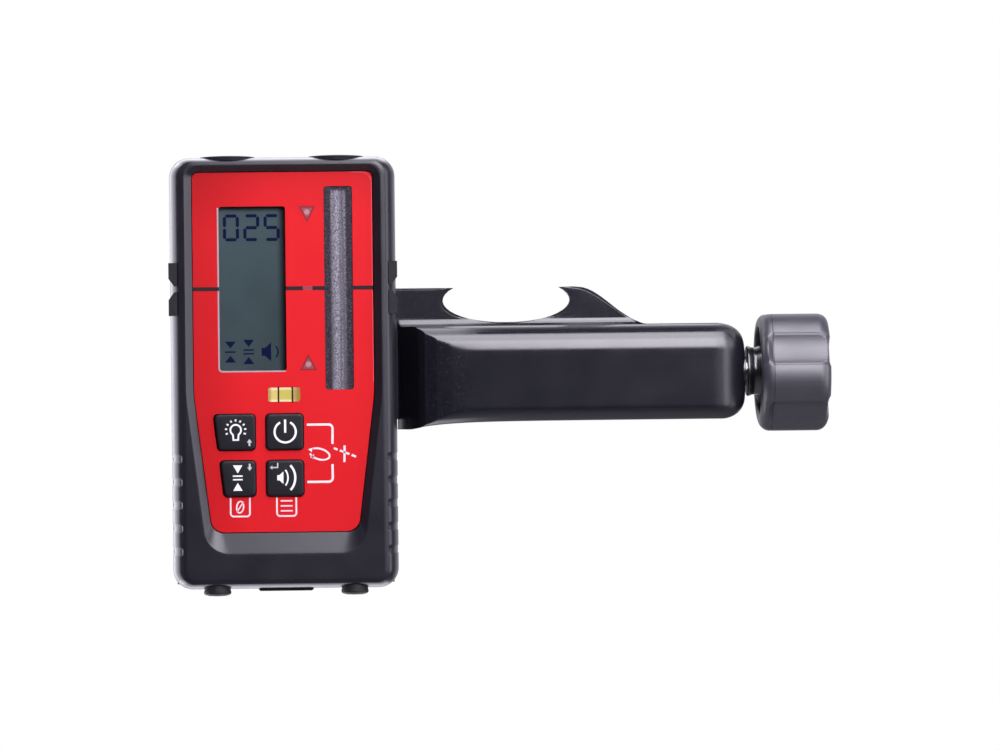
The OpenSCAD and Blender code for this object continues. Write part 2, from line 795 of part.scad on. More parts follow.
module buzzer() {
    color("#202020") in_receiver() difference() {
        rod_y(buzzer_x, buzzer_z, buzzer_d, board_y + board_t, board_y + board_t + buzzer_t);
        rod_y(buzzer_x, buzzer_z, buzzer_hole_d, board_y + board_t + buzzer_t / 2,
            board_y + board_t + buzzer_t + overrun);
    }
}
module top_magnets() {
    rim_r = magnet_d / 2;
    color("#3a3a42") in_receiver()
        for (side = [-1, 1]) translate([side * magnet_pitch / 2, magnet_y, body_top]) rotate_extrude()
            polygon([[0, -magnet_seat], [rim_r, -magnet_seat], [rim_r, magnet_proud - magnet_dish],
                [rim_r - magnet_dish, magnet_proud], [rim_r - magnet_rim, magnet_proud],
                [magnet_dish_r, magnet_proud - magnet_dish], [0, magnet_proud - magnet_dish]]);
}
module rubber_feet() {
    rim_r = foot_d / 2;
    color("#141416") in_receiver()
        for (side = [-1, 1]) translate([side * foot_pitch / 2, foot_y, -body_bottom]) rotate_extrude()
            polygon(rounded([[0, -foot_proud], [rim_r, -foot_proud], [rim_r, foot_seat],
                [foot_plug_d / 2, foot_seat], [foot_plug_d / 2, foot_plug_l], [0, foot_plug_l]],
                [0, foot_rim_r, 0, 0, 0, 0]));
}
module index_pads() {
    color("#0f0f12") in_receiver() index_blocks();
}
module battery_door() {
    rail_x = latch_w / 2 + clear_gap;
    latch_front = body_t - latch_t - latch_sink;
    tongue_y = body_t - latch_sink - latch_t / 2;
    color("#26252b") in_receiver() difference() {
        union() {
            slab(rear_wall_y + door_seat_gap, body_t,
                box_points(-door_w / 2, door_w / 2, -door_bottom, -hinge_z));
            rod_x(hinge_y, -hinge_z, 2 * hinge_r, -barrel_half_l, barrel_half_l);
            for (side = [-1, 1])
                slab(latch_front, body_t, box_points(side * (rail_x + latch_rail_w / 2) - latch_rail_w / 2,
                    side * (rail_x + latch_rail_w / 2) + latch_rail_w / 2, -door_bottom, -latch_notch_top));
        }
        for (side = [-1, 1])
            rod_x(hinge_y, -hinge_z, 2 * (hinge_r + hinge_clear),
                side < 0 ? -door_w / 2 - overrun : barrel_half_l,
                side < 0 ? -barrel_half_l : door_w / 2 + overrun);
        rod_x(hinge_y, -hinge_z, hinge_pin_d + 2 * running_gap, -door_w, door_w);
        slab(latch_front - overrun, body_t + overrun,
            box_points(-rail_x, rail_x, -body_bottom, -latch_notch_top));
        slab(tongue_y - latch_tongue_t / 2 - clear_gap, tongue_y + latch_tongue_t / 2 + clear_gap,
            box_points(-rail_x - latch_tongue, rail_x + latch_tongue, -body_bottom, -latch_notch_top));
    }
}
module door_hinge_pin() {
    color("#b8bcc2") in_receiver() rod_x(hinge_y, -hinge_z, hinge_pin_d, -pin_half_l, pin_half_l);
}
module battery_latch() {
    latch_front = body_t - latch_t - latch_sink;
    tongue_y = body_t - latch_sink - latch_t / 2;
    color("#0f0f12") in_receiver() {
        slab(latch_front, body_t - latch_sink,
            rounded(box_points(-latch_w / 2, latch_w / 2, -latch_bottom, -latch_top),
                [latch_r, latch_r, 0, 0]));
        slab(tongue_y - latch_tongue_t / 2, tongue_y + latch_tongue_t / 2,
            box_points(-latch_w / 2 - latch_tongue, latch_w / 2 + latch_tongue, -door_bottom + clear_gap,
                -latch_top));
        for (k = [0 : latch_rib_count - 1])
            rod_x(body_t - latch_sink, -latch_top - latch_h / 2 + (k - 1) * latch_rib_pitch, 2 * latch_rib_h,
                -latch_rib_l / 2, latch_rib_l / 2);
    }
}
module battery_cells() {
    color("#3b4a66") in_receiver()
        for (k = [0, 1]) scale([k == 0 ? 1 : -1, 1, 1]) {
            rod_x(cell_y, lower_cell_z + k * cell_pitch, cell_d, -cell_l / 2, cell_l / 2 - cell_nub_l);
            rod_x(cell_y, lower_cell_z + k * cell_pitch, cell_nub_d, cell_l / 2 - cell_nub_l - film,
                cell_l / 2);
        }
}
module battery_contacts() {
    reach = bay_half_l - contact_t - cell_l / 2;
    color("#c9c9c9") in_receiver()
        for (side = [-1, 1])
            for (k = [0, 1]) translate([side * bay_half_l, cell_y, lower_cell_z + k * cell_pitch])
                rotate([0, -side * 90, 0]) {
                    translate([-contact_w / 2, -contact_w / 2, 0]) cube([contact_w, contact_w, contact_t]);
                    translate([0, 0, contact_t - film])
                        cylinder(d1 = spring_d, d2 = spring_tip_d, h = reach);
                }
}
module housing_screws() {
    color("#8c8f94") in_receiver() screw_axes() {
        rod_y(0, 0, screw_d - 2 * snug, front_depth - screw_bite, body_t - screw_sink);
        difference() {
            rod_y(0, 0, screw_head_d, body_t - screw_sink - screw_head_t, body_t - screw_sink);
            rod_y(0, 0, drive_d, body_t - screw_sink - drive_depth, body_t);
        }
    }
}
module mount_insert() {
    color("#c8a24a") in_receiver() difference() {
        rod_y(0, insert_z, insert_d, body_t - insert_l, body_t);
        rod_y(0, insert_z, insert_hole_d, body_t - insert_l - overrun, body_t + overrun);
    }
}

// Reading plate outline: foot, straight edge, elliptical notch between two pointers, fin
function notch_arc() =
    let (t0 = asin(notch_throat_z / notch_depth))
    [for (i = [0 : curve_steps])
        let (t = t0 - (180 + 2 * t0) * i / curve_steps)
        [notch_half_w * cos(t), -notch_throat_z + notch_depth * sin(t)]];
function fin_curve() =
    [for (i = [0 : curve_steps / 2])
        let (s = 2 * i / curve_steps)
        [fin_end + (fin_flat_end - fin_end) * s, -arm_top_z * smooth(1 - s)]];
function reading_outline() =
    concat(
        corner_arc([foot_left, 0], [foot_left, arm_low_z], [fin_end, arm_low_z], foot_corner_r),
        [[fin_end, arm_low_z]],
        fin_curve(),
        notch_arc(),
        corner_arc([0, 0], [foot_left, 0], [foot_left, arm_low_z], foot_corner_r));
function fillet_points() =
    concat(
        [[-reading_t + film, -arm_top_z + arm_fillet]],
        arc_points([-reading_t - arm_fillet, -arm_top_z + arm_fillet], arm_fillet, 0, -90),
        [[-reading_t - arm_fillet, -arm_top_z - film]]);
function jaw_points(y0) =
    rounded(
        [[jaw_face, y0], [jaw_face, jaw_reach], [jaw_face + jaw_tip_t, jaw_reach],
            [jaw_face + jaw_root_t, y0]],
        [0, jaw_tip_r, jaw_tip_r, 0]);

// Clamp pieces
module arm_form() {
    ramp = (arm_ramp_x - arm_step_x) / (arm_step_y - arm_front_y);
    intersection() {
        hull() {
            for (z = [-arm_top_z - arm_edge_r, arm_low_z + arm_edge_r])
                translate([arm_end_x - arm_edge_r, arm_front_y + arm_edge_r, z]) sphere(arm_edge_r, $fn = 32);
            for (z = [-arm_top_z - arm_end_r, arm_low_z + arm_end_r])
                rod_y(arm_end_x - arm_end_r, z, 2 * arm_end_r, -reading_t, 0, $fn = 32);
            for (z = [-arm_top_z - arm_edge_r, arm_low_z - arm_flare + arm_edge_r])
                translate([arm_root_x, arm_front_y + arm_edge_r, z]) sphere(arm_edge_r, $fn = 32);
            slab(-reading_t, 0,
                box_points(arm_root_x - overrun, arm_root_x, arm_low_z - arm_flare, -arm_top_z));
        }
        column(arm_low_z - arm_h, 0, [
            [arm_root_x, overrun], [arm_root_x, -reading_t], [arm_step_x, arm_step_y],
            [arm_ramp_x + ramp * overrun, arm_front_y - overrun],
            [arm_end_x + overrun, arm_front_y - overrun], [arm_end_x + overrun, overrun]
        ]);
    }
}
module clamp_body() {
    slot_half = carriage_h / 2 + clear_gap;
    color("#222128") difference() {
        union() {
            slab(-reading_t, 0, reading_outline());
            arm_form();
            intersection() {
                slab(-reading_t - arm_fillet, 0, reading_outline());
                translate([arm_root_x, 0, 0]) rotate([90, 0, 90]) linear_extrude(fin_end - arm_root_x)
                    polygon(concat([[-reading_t + film, -arm_top_z - film]], fillet_points()));
            }
            scale([-1, 1, 1]) column(jaw_bottom_z, jaw_top_z, jaw_points(-film));
            slab(-film, land_t, box_points(-land_half_l, land_half_l, jaw_top_z + clear_gap,
                -notch_throat_z - notch_depth - land_inset));
            slab(-film, land_t, box_points(-land_half_l, land_half_l, arm_low_z + land_inset,
                jaw_bottom_z - clear_gap));
            for (z = [-rib_inset, arm_low_z + rib_inset])
                slab(-film, rib_depth,
                    box_points(rib_left, -jaw_face - jaw_tip_t, z - rib_t / 2, z + rib_t / 2));
        }
        slab(arm_front_y + arm_wall, -reading_t, box_points(cavity_left, cavity_right, arm_low_z + arm_wall,
            -arm_top_z - arm_wall));
        slab(-reading_t - overrun, overrun, box_points(jaw_face - jaw_travel - clear_gap,
            jaw_face + carriage_l + clear_gap, spindle_z - slot_half, spindle_z + slot_half));
        rod_x(spindle_y, spindle_z, bush_d + 2 * snug, cavity_right - overrun, arm_end_x + overrun);
        rod_x(spindle_y, spindle_z, journal_d + 2 * running_gap, spindle_left - journal_l - clear_gap,
            cavity_left + overrun);
        rod_y(receiver_x, insert_z, insert_hole_d + clear_gap, -reading_t - overrun, overrun);
    }
}
module jaw_pad_form() {
    slab(pad_margin, jaw_reach - pad_margin, box_points(rod_gap / 2, jaw_face, jaw_bottom_z + pad_margin,
        jaw_top_z - pad_margin));
}
module fixed_jaw_pad() {
    color("#0f0f12") scale([-1, 1, 1]) jaw_pad_form();
}
module sliding_jaw() {
    color("#222128") difference() {
        union() {
            column(jaw_bottom_z, jaw_top_z, jaw_points(clear_gap));
            slab(carriage_front_y, clear_gap + film, box_points(jaw_face, jaw_face + carriage_l,
                spindle_z - carriage_h / 2, spindle_z + carriage_h / 2));
        }
        rod_x(spindle_y, spindle_z, spindle_d + 2 * running_gap, 0, arm_end_x);
    }
}
module sliding_jaw_pad() {
    color("#0f0f12") jaw_pad_form();
}
module spindle() {
    color("#9a9da3") {
        rod_x(spindle_y, spindle_z, journal_d, spindle_left - journal_l, spindle_left + film);
        rod_x(spindle_y, spindle_z, spindle_d, spindle_left, clip_x);
        rod_x(spindle_y, spindle_z, clip_groove_d, clip_x - film, clip_x + clip_t + film);
        difference() {
            rod_x(spindle_y, spindle_z, spindle_d, clip_x + clip_t, spindle_right);
            rod_y(knob_pin_x, spindle_z, knob_pin_d, spindle_y - spindle_d, spindle_y + spindle_d);
        }
    }
}
module spindle_bush() {
    color("#b08d4e") difference() {
        union() {
            rod_x(spindle_y, spindle_z, bush_flange_d, bush_flange_x, cavity_right);
            rod_x(spindle_y, spindle_z, bush_d, cavity_right - film, arm_end_x + bush_out);
        }
        rod_x(spindle_y, spindle_z, spindle_d + 2 * running_gap, bush_flange_x - overrun,
            arm_end_x + overrun);
    }
}
module thrust_washer() {
    color("#c7c9cc") difference() {
        rod_x(spindle_y, spindle_z, washer_d, washer_x, washer_x + washer_t);
        rod_x(spindle_y, spindle_z, spindle_d + 2 * snug, washer_x - overrun, washer_x + washer_t + overrun);
    }
}
module retaining_clip() {
    color("#55585c") difference() {
        rod_x(spindle_y, spindle_z, clip_d, clip_x, clip_x + clip_t);
        rod_x(spindle_y, spindle_z, clip_groove_d + 2 * snug, clip_x - overrun, clip_x + clip_t + overrun);
        slab(-arm_depth, 0, box_points(clip_x - overrun, clip_x + clip_t + overrun, arm_low_z,
            spindle_z - spindle_d / 2));
    }
}
module knob() {
    cup_floor = knob_end_x - cup_end;
    cup_r = knob_r - valley_depth - cup_wall;
    hub_r = hub_d / 2;
    valley_axis = knob_r - valley_depth + valley_r;
    color("#25242b") difference() {
        translate([0, spindle_y, spindle_z]) rotate([0, 90, 0]) rotate_extrude()
            polygon(rounded(
                [[0, knob_hub_x], [hub_r * hub_waist_share, knob_hub_x], [hub_r, knob_hub_x + hub_waist_l],
                    [hub_r, cup_floor], [cup_r, cup_floor], [cup_r, knob_rim_x], [knob_r, knob_rim_x],
                    [knob_r, knob_end_x], [0, knob_end_x]],
                [0, 0, hub_waist_l, cup_floor_r, cup_floor_r, cup_lip_r, knob_edge_r, knob_edge_r, 0]));
        for (k = [0 : knob_lobes - 1]) {
            a = lobe_angle + knob_turn / 2 + knob_turn * k;
            rod_x(spindle_y - valley_axis * cos(a), spindle_z + valley_axis * sin(a), 2 * valley_r,
                knob_rim_x - overrun, knob_end_x + overrun);
        }
        rod_x(spindle_y, spindle_z, spindle_d + 2 * snug, knob_hub_x - overrun, spindle_right);
        rod_y(knob_pin_x, spindle_z, knob_pin_d, spindle_y - hub_d, spindle_y + hub_d);
    }
}
module knob_pin() {
    color("#b8bcc2") rod_y(knob_pin_x, spindle_z, knob_pin_d, spindle_y - hub_d / 2, spindle_y + hub_d / 2);
}
module clamp_screw() {
    color("#2a2a2e") {
        rod_y(receiver_x, insert_z, clamp_screw_d, -reading_t - clamp_screw_reach, clear_gap + film);
        difference() {
            rod_y(receiver_x, insert_z, clamp_head_d, clear_gap, clear_gap + clamp_head_l);
            for (k = [0 : clamp_head_lobes - 1]) {
                a = 360 * k / clamp_head_lobes;
                rod_y(receiver_x + clamp_head_d / 2 * cos(a), insert_z + clamp_head_d / 2 * sin(a),
                    clamp_head_notch_d, clear_gap - overrun, clear_gap + clamp_head_l + overrun);
            }
        }
    }
}

front_shell();
rear_shell();
housing_gasket();
faceplate();
lcd_window();
lcd_module();
receiving_window();
diffuser_strip();
photodiode_board();
photodiodes();
indicator_lenses();
indicator_leds();
vial_block();
vial_liquid();
vial_bubble();
key_backlight();
key_power();
key_accuracy();
key_sound();
key_switches();
main_board();
buzzer();
top_magnets();
rubber_feet();
index_pads();
battery_door();
door_hinge_pin();
battery_latch();
battery_cells();
battery_contacts();
housing_screws();
mount_insert();
clamp_body();
fixed_jaw_pad();
sliding_jaw();
sliding_jaw_pad();
spindle();
spindle_bush();
thrust_washer();
retaining_clip();
knob();
knob_pin();
clamp_screw();
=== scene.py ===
"""Dresses a laser receiver on its rod clamp: shells, faceplate, keys, display, clamp, knob and studio."""

import bmesh
import bpy
import numpy as np
from bpy.props import FloatProperty, FloatVectorProperty, IntProperty, PointerProperty
from mathutils import Matrix, Vector
from mathutils.geometry import tessellate_polygon


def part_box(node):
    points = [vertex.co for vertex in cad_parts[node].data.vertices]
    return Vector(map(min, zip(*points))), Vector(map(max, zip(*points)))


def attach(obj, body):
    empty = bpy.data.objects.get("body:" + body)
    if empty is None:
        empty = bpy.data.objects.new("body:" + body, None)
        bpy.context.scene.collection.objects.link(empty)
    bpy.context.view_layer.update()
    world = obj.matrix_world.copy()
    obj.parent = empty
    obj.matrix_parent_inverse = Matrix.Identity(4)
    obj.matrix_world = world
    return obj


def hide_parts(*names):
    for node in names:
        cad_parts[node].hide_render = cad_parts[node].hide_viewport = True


bl_info = {
    "name": "Laser Receiver Dresser",
    "version": (1, 0, 0),
    "blender": (4, 5, 0),
    "location": "View3D > Sidebar > Receiver",
    "description": "Builds the visible pieces of a laser receiver and its rod clamp",
    "category": "Add Mesh",
}

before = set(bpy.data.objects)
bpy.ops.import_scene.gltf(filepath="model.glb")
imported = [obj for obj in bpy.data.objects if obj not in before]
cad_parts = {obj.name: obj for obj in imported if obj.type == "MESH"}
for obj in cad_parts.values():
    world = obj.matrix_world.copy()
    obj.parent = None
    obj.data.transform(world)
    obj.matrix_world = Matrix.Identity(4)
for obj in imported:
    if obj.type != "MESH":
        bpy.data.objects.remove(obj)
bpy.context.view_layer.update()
MM = 0.001

ROOT = "receiver_and_clamp"

# Edges that turn by more degrees than this stay sharp.
CREASE = 32.0

BLACK, WHITE = (0.0, 0.0, 0.0), (1.0, 1.0, 1.0)


def box(node):
    """Lowest and highest corner of a node, in millimetres."""
    return np.array(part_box(node)) / MM


SHELL, PLATE, KNOB, ARM = (box(node) for node in ("front_shell", "faceplate", "knob", "clamp_body"))

# The receiver's own frame starts at the middle of its width, at its front rim and at its zero line.
MIDDLE_X = SHELL[:, 0].mean()
FRONT_Y = SHELL[0, 1]
PARTING = SHELL[1, 1] - FRONT_Y
PLATE_Y = PLATE[0, 1] - FRONT_Y
PLATE_BACK = PLATE[1, 1] - FRONT_Y
PLATE_HALF = (PLATE[1, 0] - PLATE[0, 0]) / 2

# Angle of the facet's outer side from the front, in radians.
FACET_LIE = 0.15

# Left, right, foot and top of the display's cut-out, and left and right of the receiving window.
DISPLAY = np.array([-22.3, 1.0, -28.7, 28.7])
WINDOW = np.array([14.5, 24.4])

# Radii of the knob's grip, cup and hub, the depth of its mould seam, and where its rim and end lie.
GRIP, CUP, HUB, SEAM_CUT = 21.3, 15.6, 9.0, 0.2
KNOB_RIM, KNOB_END = KNOB[0, 0] + 4.1, KNOB[1, 0] - 0.8

# Heights of the arm's top and foot and of the reading edge, and depths of the arm's and the plate's front.
ARM_TOP, ARM_LOW, EDGE_Z = -13.7, -47.4, 0.2
ARM_FRONT, PLATE_FRONT = -24.0, -4.0

# The notch's half width, widest height and depth, the fin's start and run, and the jaw's slot.
NOTCH_HALF, NOTCH_Z, NOTCH_DEEP = 23.0, -4.6, 7.7
FIN_X, FIN_RUN = 52.0, 28.5
SLOT = (-6.1, 44.6, -37.1, -23.9)


def length(name, text, value):
    """A size in the panel, given in millimetres."""
    return FloatProperty(name=name, description=text, default=value * MM, unit="LENGTH", subtype="DISTANCE")


def colour(name, text, value):
    """A colour in the panel."""
    return FloatVectorProperty(name=name, description=text, default=value, subtype="COLOR", size=3,
                               min=0, max=1)


def in_mm(group, *names):
    """Sizes of a group, in millimetres."""
    return [getattr(group, name) * (1 / MM) for name in names]


class HousingSizes(bpy.types.PropertyGroup):
    """Sizes of the receiver's housing and faceplate recess."""

    corner: length("Corner", "Corner radius of the housing", 7.0)
    edge: length("Edge", "Width of the front edge's rounding", 3.7)
    crown: length("Crown", "Height of the upper edge's rounding", 1.7)
    facet: length("Facet", "Width of the facet between crest and rounding", 1.5)
    lean: length("Lean", "Depth that the facet falls to its outer side", 0.27)
    wall: length("Wall", "Wall of the shell", 2.2)
    shoulder: length("Shoulder", "Height below zero where the faceplate starts to taper", 37.0)
    taper: length("Taper", "Width that the faceplate loses on each side", 5.9)
    bevel: length("Bevel", "Width of the bevel beside the faceplate", 2.8)
    bevel_foot: length("Bevel foot", "Width of the bevel below the faceplate", 7.5)
    plate_gap: length("Plate gap", "Gap round the faceplate", 0.25)
    groove: length("Groove", "Radius of a grip groove", 2.2)
    groove_depth: length("Groove depth", "Depth of a grip groove", 0.8)
    groove_pitch: length("Groove pitch", "Distance between grip grooves", 8.1)
    groove_start: length("Groove start", "Height of the uppermost grip groove below zero", 59.2)


class KeySizes(bpy.types.PropertyGroup):
    """Sizes of the rubber keys and of the printed signs."""

    edge: length("Edge", "Rounding of a key's top edge", 0.75)
    corner: length("Corner", "Corner radius of a key", 1.5)
    crown: length("Crown", "Height of a key's crown", 0.12)
    ink: length("Ink", "Thickness of printed ink", 0.04)


class KnobSizes(bpy.types.PropertyGroup):
    """Sizes of the lobed knob."""

    lobes: IntProperty(name="Lobes", description="Number of lobes", default=5, min=3, max=9)
    valley: length("Valley", "Depth of the valleys between lobes", 3.3)
    valley_radius: length("Valley radius", "Radius of a valley", 12.0)
    edge: length("Edge", "Rounding of the knob's ends", 4.0)
    seam: length("Seam", "Distance of the mould seam from the open end", 4.2)


class FinishColours(bpy.types.PropertyGroup):
    """Colours of the finishes."""

    housing: colour("Housing", "Moulded housing", (0.0120, 0.0110, 0.0165))
    clamp: colour("Clamp", "Moulded clamp", (0.0060, 0.0060, 0.0100))
    knob: colour("Knob", "Moulded knob", (0.026, 0.024, 0.035))
    plate: colour("Plate", "Faceplate", (0.60, 0.0125, 0.0175))
    key: colour("Key", "Rubber keys", (0.0062, 0.0056, 0.0088))
    rubber: colour("Rubber", "Feet, pads and seals", (0.010, 0.010, 0.012))
    ink: colour("Ink", "Printed signs", (0.86, 0.86, 0.86))
    line: colour("Line", "Zero line", (0.022, 0.016, 0.020))
    display: colour("Display", "Display ground", (0.071, 0.108, 0.116))
    segment: colour("Segment", "Display segments", (0.007, 0.011, 0.065))
    window: colour("Window", "Smoked receiving window", (0.030, 0.026, 0.034))
    band: colour("Band", "Light guide behind the window", (0.215, 0.203, 0.238))
    vial: colour("Vial", "Level vial", (0.56, 0.43, 0.14))
    amber: colour("Amber", "Shaded end of the level vial", (0.30, 0.165, 0.035))
    lens: colour("Lens", "Indicator lenses", (0.27, 0.055, 0.066))


class Value:
    """A socket of a finish. Arithmetic on it adds Math nodes."""

    def __init__(self, finish, socket):
        self.finish = finish
        self.socket = socket

    def math(self, operation, first, second):
        return self.finish.node("ShaderNodeMath", {"operation": operation}, {0: first, 1: second})

    def __add__(self, other):
        return self.math("ADD", self, other)

    def __sub__(self, other):
        return self.math("SUBTRACT", self, other)

    def __rsub__(self, other):
        return self.math("SUBTRACT", other, self)

    def __mul__(self, other):
        return self.math("MULTIPLY", self, other)

    def __pow__(self, other):
        return self.math("POWER", self, other)

    def __abs__(self):
        return self.math("ABSOLUTE", self, 0.0)

    __radd__ = __add__
    __rmul__ = __mul__


class Finish:
    """One procedural finish: a node tree filled through node() and closed by surface()."""

    def __init__(self, name, owner=None):
        if owner is None:
            owner = bpy.data.materials.new(name)
        owner.use_nodes = True
        self.owner = owner
        self.tree = owner.node_tree
        self.tree.nodes.clear()

    def node(self, kind, settings, sockets, out=0):
        """Adds a node of a kind, sets its settings, then its sockets by name or number."""
        made = self.tree.nodes.new(kind)
        for key, value in settings.items():
            setattr(made, key, value)
        for key, value in sockets.items():
            if isinstance(value, Value):
                self.tree.links.new(value.socket, made.inputs[key])
            else:
                made.inputs[key].default_value = value
        return Value(self, made.outputs[out]) if made.outputs else None

    def place(self):
        """Object coordinates, in metres."""
        return self.node("ShaderNodeTexCoord", {}, {}, "Object")

    def axis(self, name):
        """One object coordinate, in millimetres."""
        return self.node("ShaderNodeSeparateXYZ", {}, {0: self.place()}, name) * (1 / MM)

    def noise(self, grain, detail=2.0, rough=0.5):
        """Noise whose cells are about a grain, in millimetres."""
        sockets = {"Vector": self.place(), "Scale": 1 / (grain * MM), "Detail": detail, "Roughness": rough}
        return self.node("ShaderNodeTexNoise", {}, sockets, "Fac")

    def stretched(self, grain, stretch, detail=2.0):
        """Noise drawn out along an axis by a stretch for each coordinate."""
        where = self.node("ShaderNodeMapping", {}, {"Vector": self.place(), "Scale": stretch})
        sockets = {"Vector": where, "Scale": 1 / (grain * MM), "Detail": detail}
        return self.node("ShaderNodeTexNoise", {}, sockets, "Fac")

    def step(self, value, low, high, first=0.0, last=1.0):
        """A smooth step from first to last while value goes from low to high."""
        settings = {"interpolation_type": "SMOOTHSTEP", "clamp": True}
        sockets = {"Value": value, "From Min": low, "From Max": high, "To Min": first, "To Max": last}
        return self.node("ShaderNodeMapRange", settings, sockets)

    def mix(self, factor, first, second):
        """A colour between two colours."""
        settings = {"data_type": "RGBA", "blend_type": "MIX"}
        return self.node("ShaderNodeMix", settings, {0: factor, 6: opaque(first), 7: opaque(second)}, 2)

    def bump(self, height, depth):
        """A normal bumped by a height of a depth in millimetres."""
        sockets = {"Height": height, "Distance": depth * MM, "Strength": 1.0}
        return self.node("ShaderNodeBump", {}, sockets)

    def surface(self, **sockets):
        """Closes the finish with the standard surface. A name's underscores stand for spaces."""
        named = {key.replace("_", " "): opaque(value) for key, value in sockets.items()}
        shader = self.node("ShaderNodeBsdfPrincipled", {}, named)
        self.node("ShaderNodeOutputMaterial", {}, {"Surface": shader})
        return self.owner


def opaque(value):
    """A colour of three numbers as four, and anything else as it is."""
    if isinstance(value, (float, int, Value)) or len(value) != 3:
        return value
    return (*value, 1.0)


def shade(tint, factor):
    """A colour made lighter or darker."""
    return tuple(min(1.0, part * factor) for part in tint)


def hub_gloss_and_shade(f):
    """Factor on the roughness where the knob's hub is glossier, and share of black mixed in there as painted
    shade deep in the cup.
    """
    across, up = f.axis("Y") - KNOB[:, 1].mean(), f.axis("Z") - KNOB[:, 2].mean()
    inner = f.step((across * across + up * up) ** 0.5, HUB + 0.8, HUB + 2.2, 1.0, 0.0)
    return inner * -0.5 + 1.0, inner * 0.8


def worn_end(f):
    """Factor on the roughness where the arm's end is worn matt, with no black mixed in."""
    end = ARM[1, 0]
    return f.step(f.axis("X"), end - 13, end - 6, 1.0, 1.75), None


def moulded(name, tint, rough, grain=0.3, depth=0.012, fleck=0.0, sheen=0.5, density=1.5, vary=None):
    """Moulded plastic: eroded grain in the gloss and normal, clouds in the tone, and pale flecks. A vary
    function gives a factor on the roughness and a share of black as painted shade, or none."""
    f = Finish(name)
    cloud = f.noise(11.0, 3.0)
    fine = f.noise(grain, 2.0, 0.6)
    spark = f.step(f.noise(grain * 1.3, 1.0), 0.64, 0.74) * fleck
    tone = f.mix(cloud, shade(tint, 0.82), shade(tint, 1.2))
    tone = f.mix(spark, tone, shade(tint, 9.0))
    gloss = ((cloud - 0.5) * 0.35 + (fine - 0.5) * 0.4 + 1.0) * rough
    if vary:
        kept, dark = vary(f)
        gloss = gloss * kept
        # A share of black from vary is painted shade.
        tone = f.mix(dark, tone, BLACK) if dark else tone
    return f.surface(Base_Color=tone, Roughness=gloss, Normal=f.bump(fine, depth), Specular_IOR_Level=sheen,
                     IOR=density)


def rubber(name, tint, rough=0.62, grain=0.22):
    """Rubber: matt, with a fine skin and faint dust."""
    f = Finish(name)
    skin = f.noise(grain, 2.0)
    dust = f.step(f.noise(5.0, 4.0), 0.5, 0.8)
    tone = f.mix(dust * 0.35, tint, shade(tint, 2.4))
    return f.surface(Base_Color=tone, Roughness=rough + (skin - 0.5) * 0.16, Normal=f.bump(skin, 0.006),
                     Specular_IOR_Level=0.3)


def metal(name, tint, rough=0.28, turned=(1.0, 1.0, 1.0), grain=0.5):
    """Turned or drawn metal: scratches along one way and faint stains."""
    f = Finish(name)
    scratch = f.stretched(grain, turned, 3.0)
    stain = f.noise(6.0, 3.0)
    tone = f.mix(stain, shade(tint, 0.78), tint)
    gloss = rough + (scratch - 0.5) * 0.2
    return f.surface(Base_Color=tone, Roughness=gloss, Metallic=1.0, Normal=f.bump(scratch, 0.006))


def red_plate(c):
    """Screen-printed polycarbonate sheet: red darkened towards the left and the top as painted shade, fine
    orange peel, a soft sheen."""
    f = Finish("red_plate")
    peel = f.noise(0.5, 2.0)
    cloud = f.noise(24.0, 2.0)
    # Painted shade: level mixes black into the red towards the left and the top.
    level = f.step(f.axis("X"), MIDDLE_X - 34, MIDDLE_X - 2, 0.77, 1.08)
    level = level * f.step(f.axis("Z"), 14, 42, 1.0, 0.82)
    tone = f.mix(cloud, shade(c.plate, 0.96), shade(c.plate, 1.04))
    tone = f.mix(level, BLACK, tone)
    gloss = 0.30 + (cloud - 0.5) * 0.06
    return f.surface(Base_Color=tone, Roughness=gloss, Normal=f.bump(peel, 0.002), Specular_IOR_Level=0.2)


def display_ground(c):
    """Reflecting ground of the display: grey-green with faint clouds and cell dots, painted lighter towards
    its upper left, and a painted shadow under the cut-out's right and upper edge."""
    f = Finish("display_ground")
    low, high = box("lcd_window")
    across, up = f.axis("X"), f.axis("Z")
    cloud = f.noise(13.0, 2.0)
    dots = f.noise(0.35, 1.0)
    # Painted light: the ground is paler towards its top and its left.
    painted_light = f.step(up, low[2] + 20, high[2], 0.1, 1.0) + f.step(across, low[0], high[0], 0.5, 0.0)
    tone = f.mix(cloud * 0.5 + dots * 0.15 + painted_light * 0.5, shade(c.display, 0.78), shade(c.display, 1.45))
    side, top = MIDDLE_X + DISPLAY[1], DISPLAY[3]
    # Painted shadow: dark bands inside the cut-out's right and upper edge, as cast by the plate.
    right = f.step(across, side - 3.4, side - 0.4) * 0.86
    upper = f.step(up, top - 2.2, top - 0.3) * 0.7
    for shadow in (right, upper):
        tone = f.mix(shadow, tone, (0.006, 0.007, 0.010))
    return f.surface(Base_Color=tone, Roughness=0.42 + (dots - 0.5) * 0.1, Specular_IOR_Level=0.15)


def clear_pane(name, clearness):
    """A clear pane: mostly see-through, with gloss where it is seen at a slant."""
    f = Finish(name)
    smear = f.noise(7.0, 3.0)
    gloss = f.node("ShaderNodeBsdfGlossy", {}, {"Color": (0.9, 0.9, 0.9, 1.0), "Roughness": 0.06})
    clear = f.node("ShaderNodeBsdfTransparent", {}, {"Color": (clearness, clearness, clearness, 1.0)})
    slant = f.node("ShaderNodeFresnel", {}, {"IOR": 1.42})
    factor = slant * (0.75 + smear * 0.3)
    shader = f.node("ShaderNodeMixShader", {}, {0: factor, 1: clear, 2: gloss})
    f.node("ShaderNodeOutputMaterial", {}, {"Surface": shader})
    return f.owner


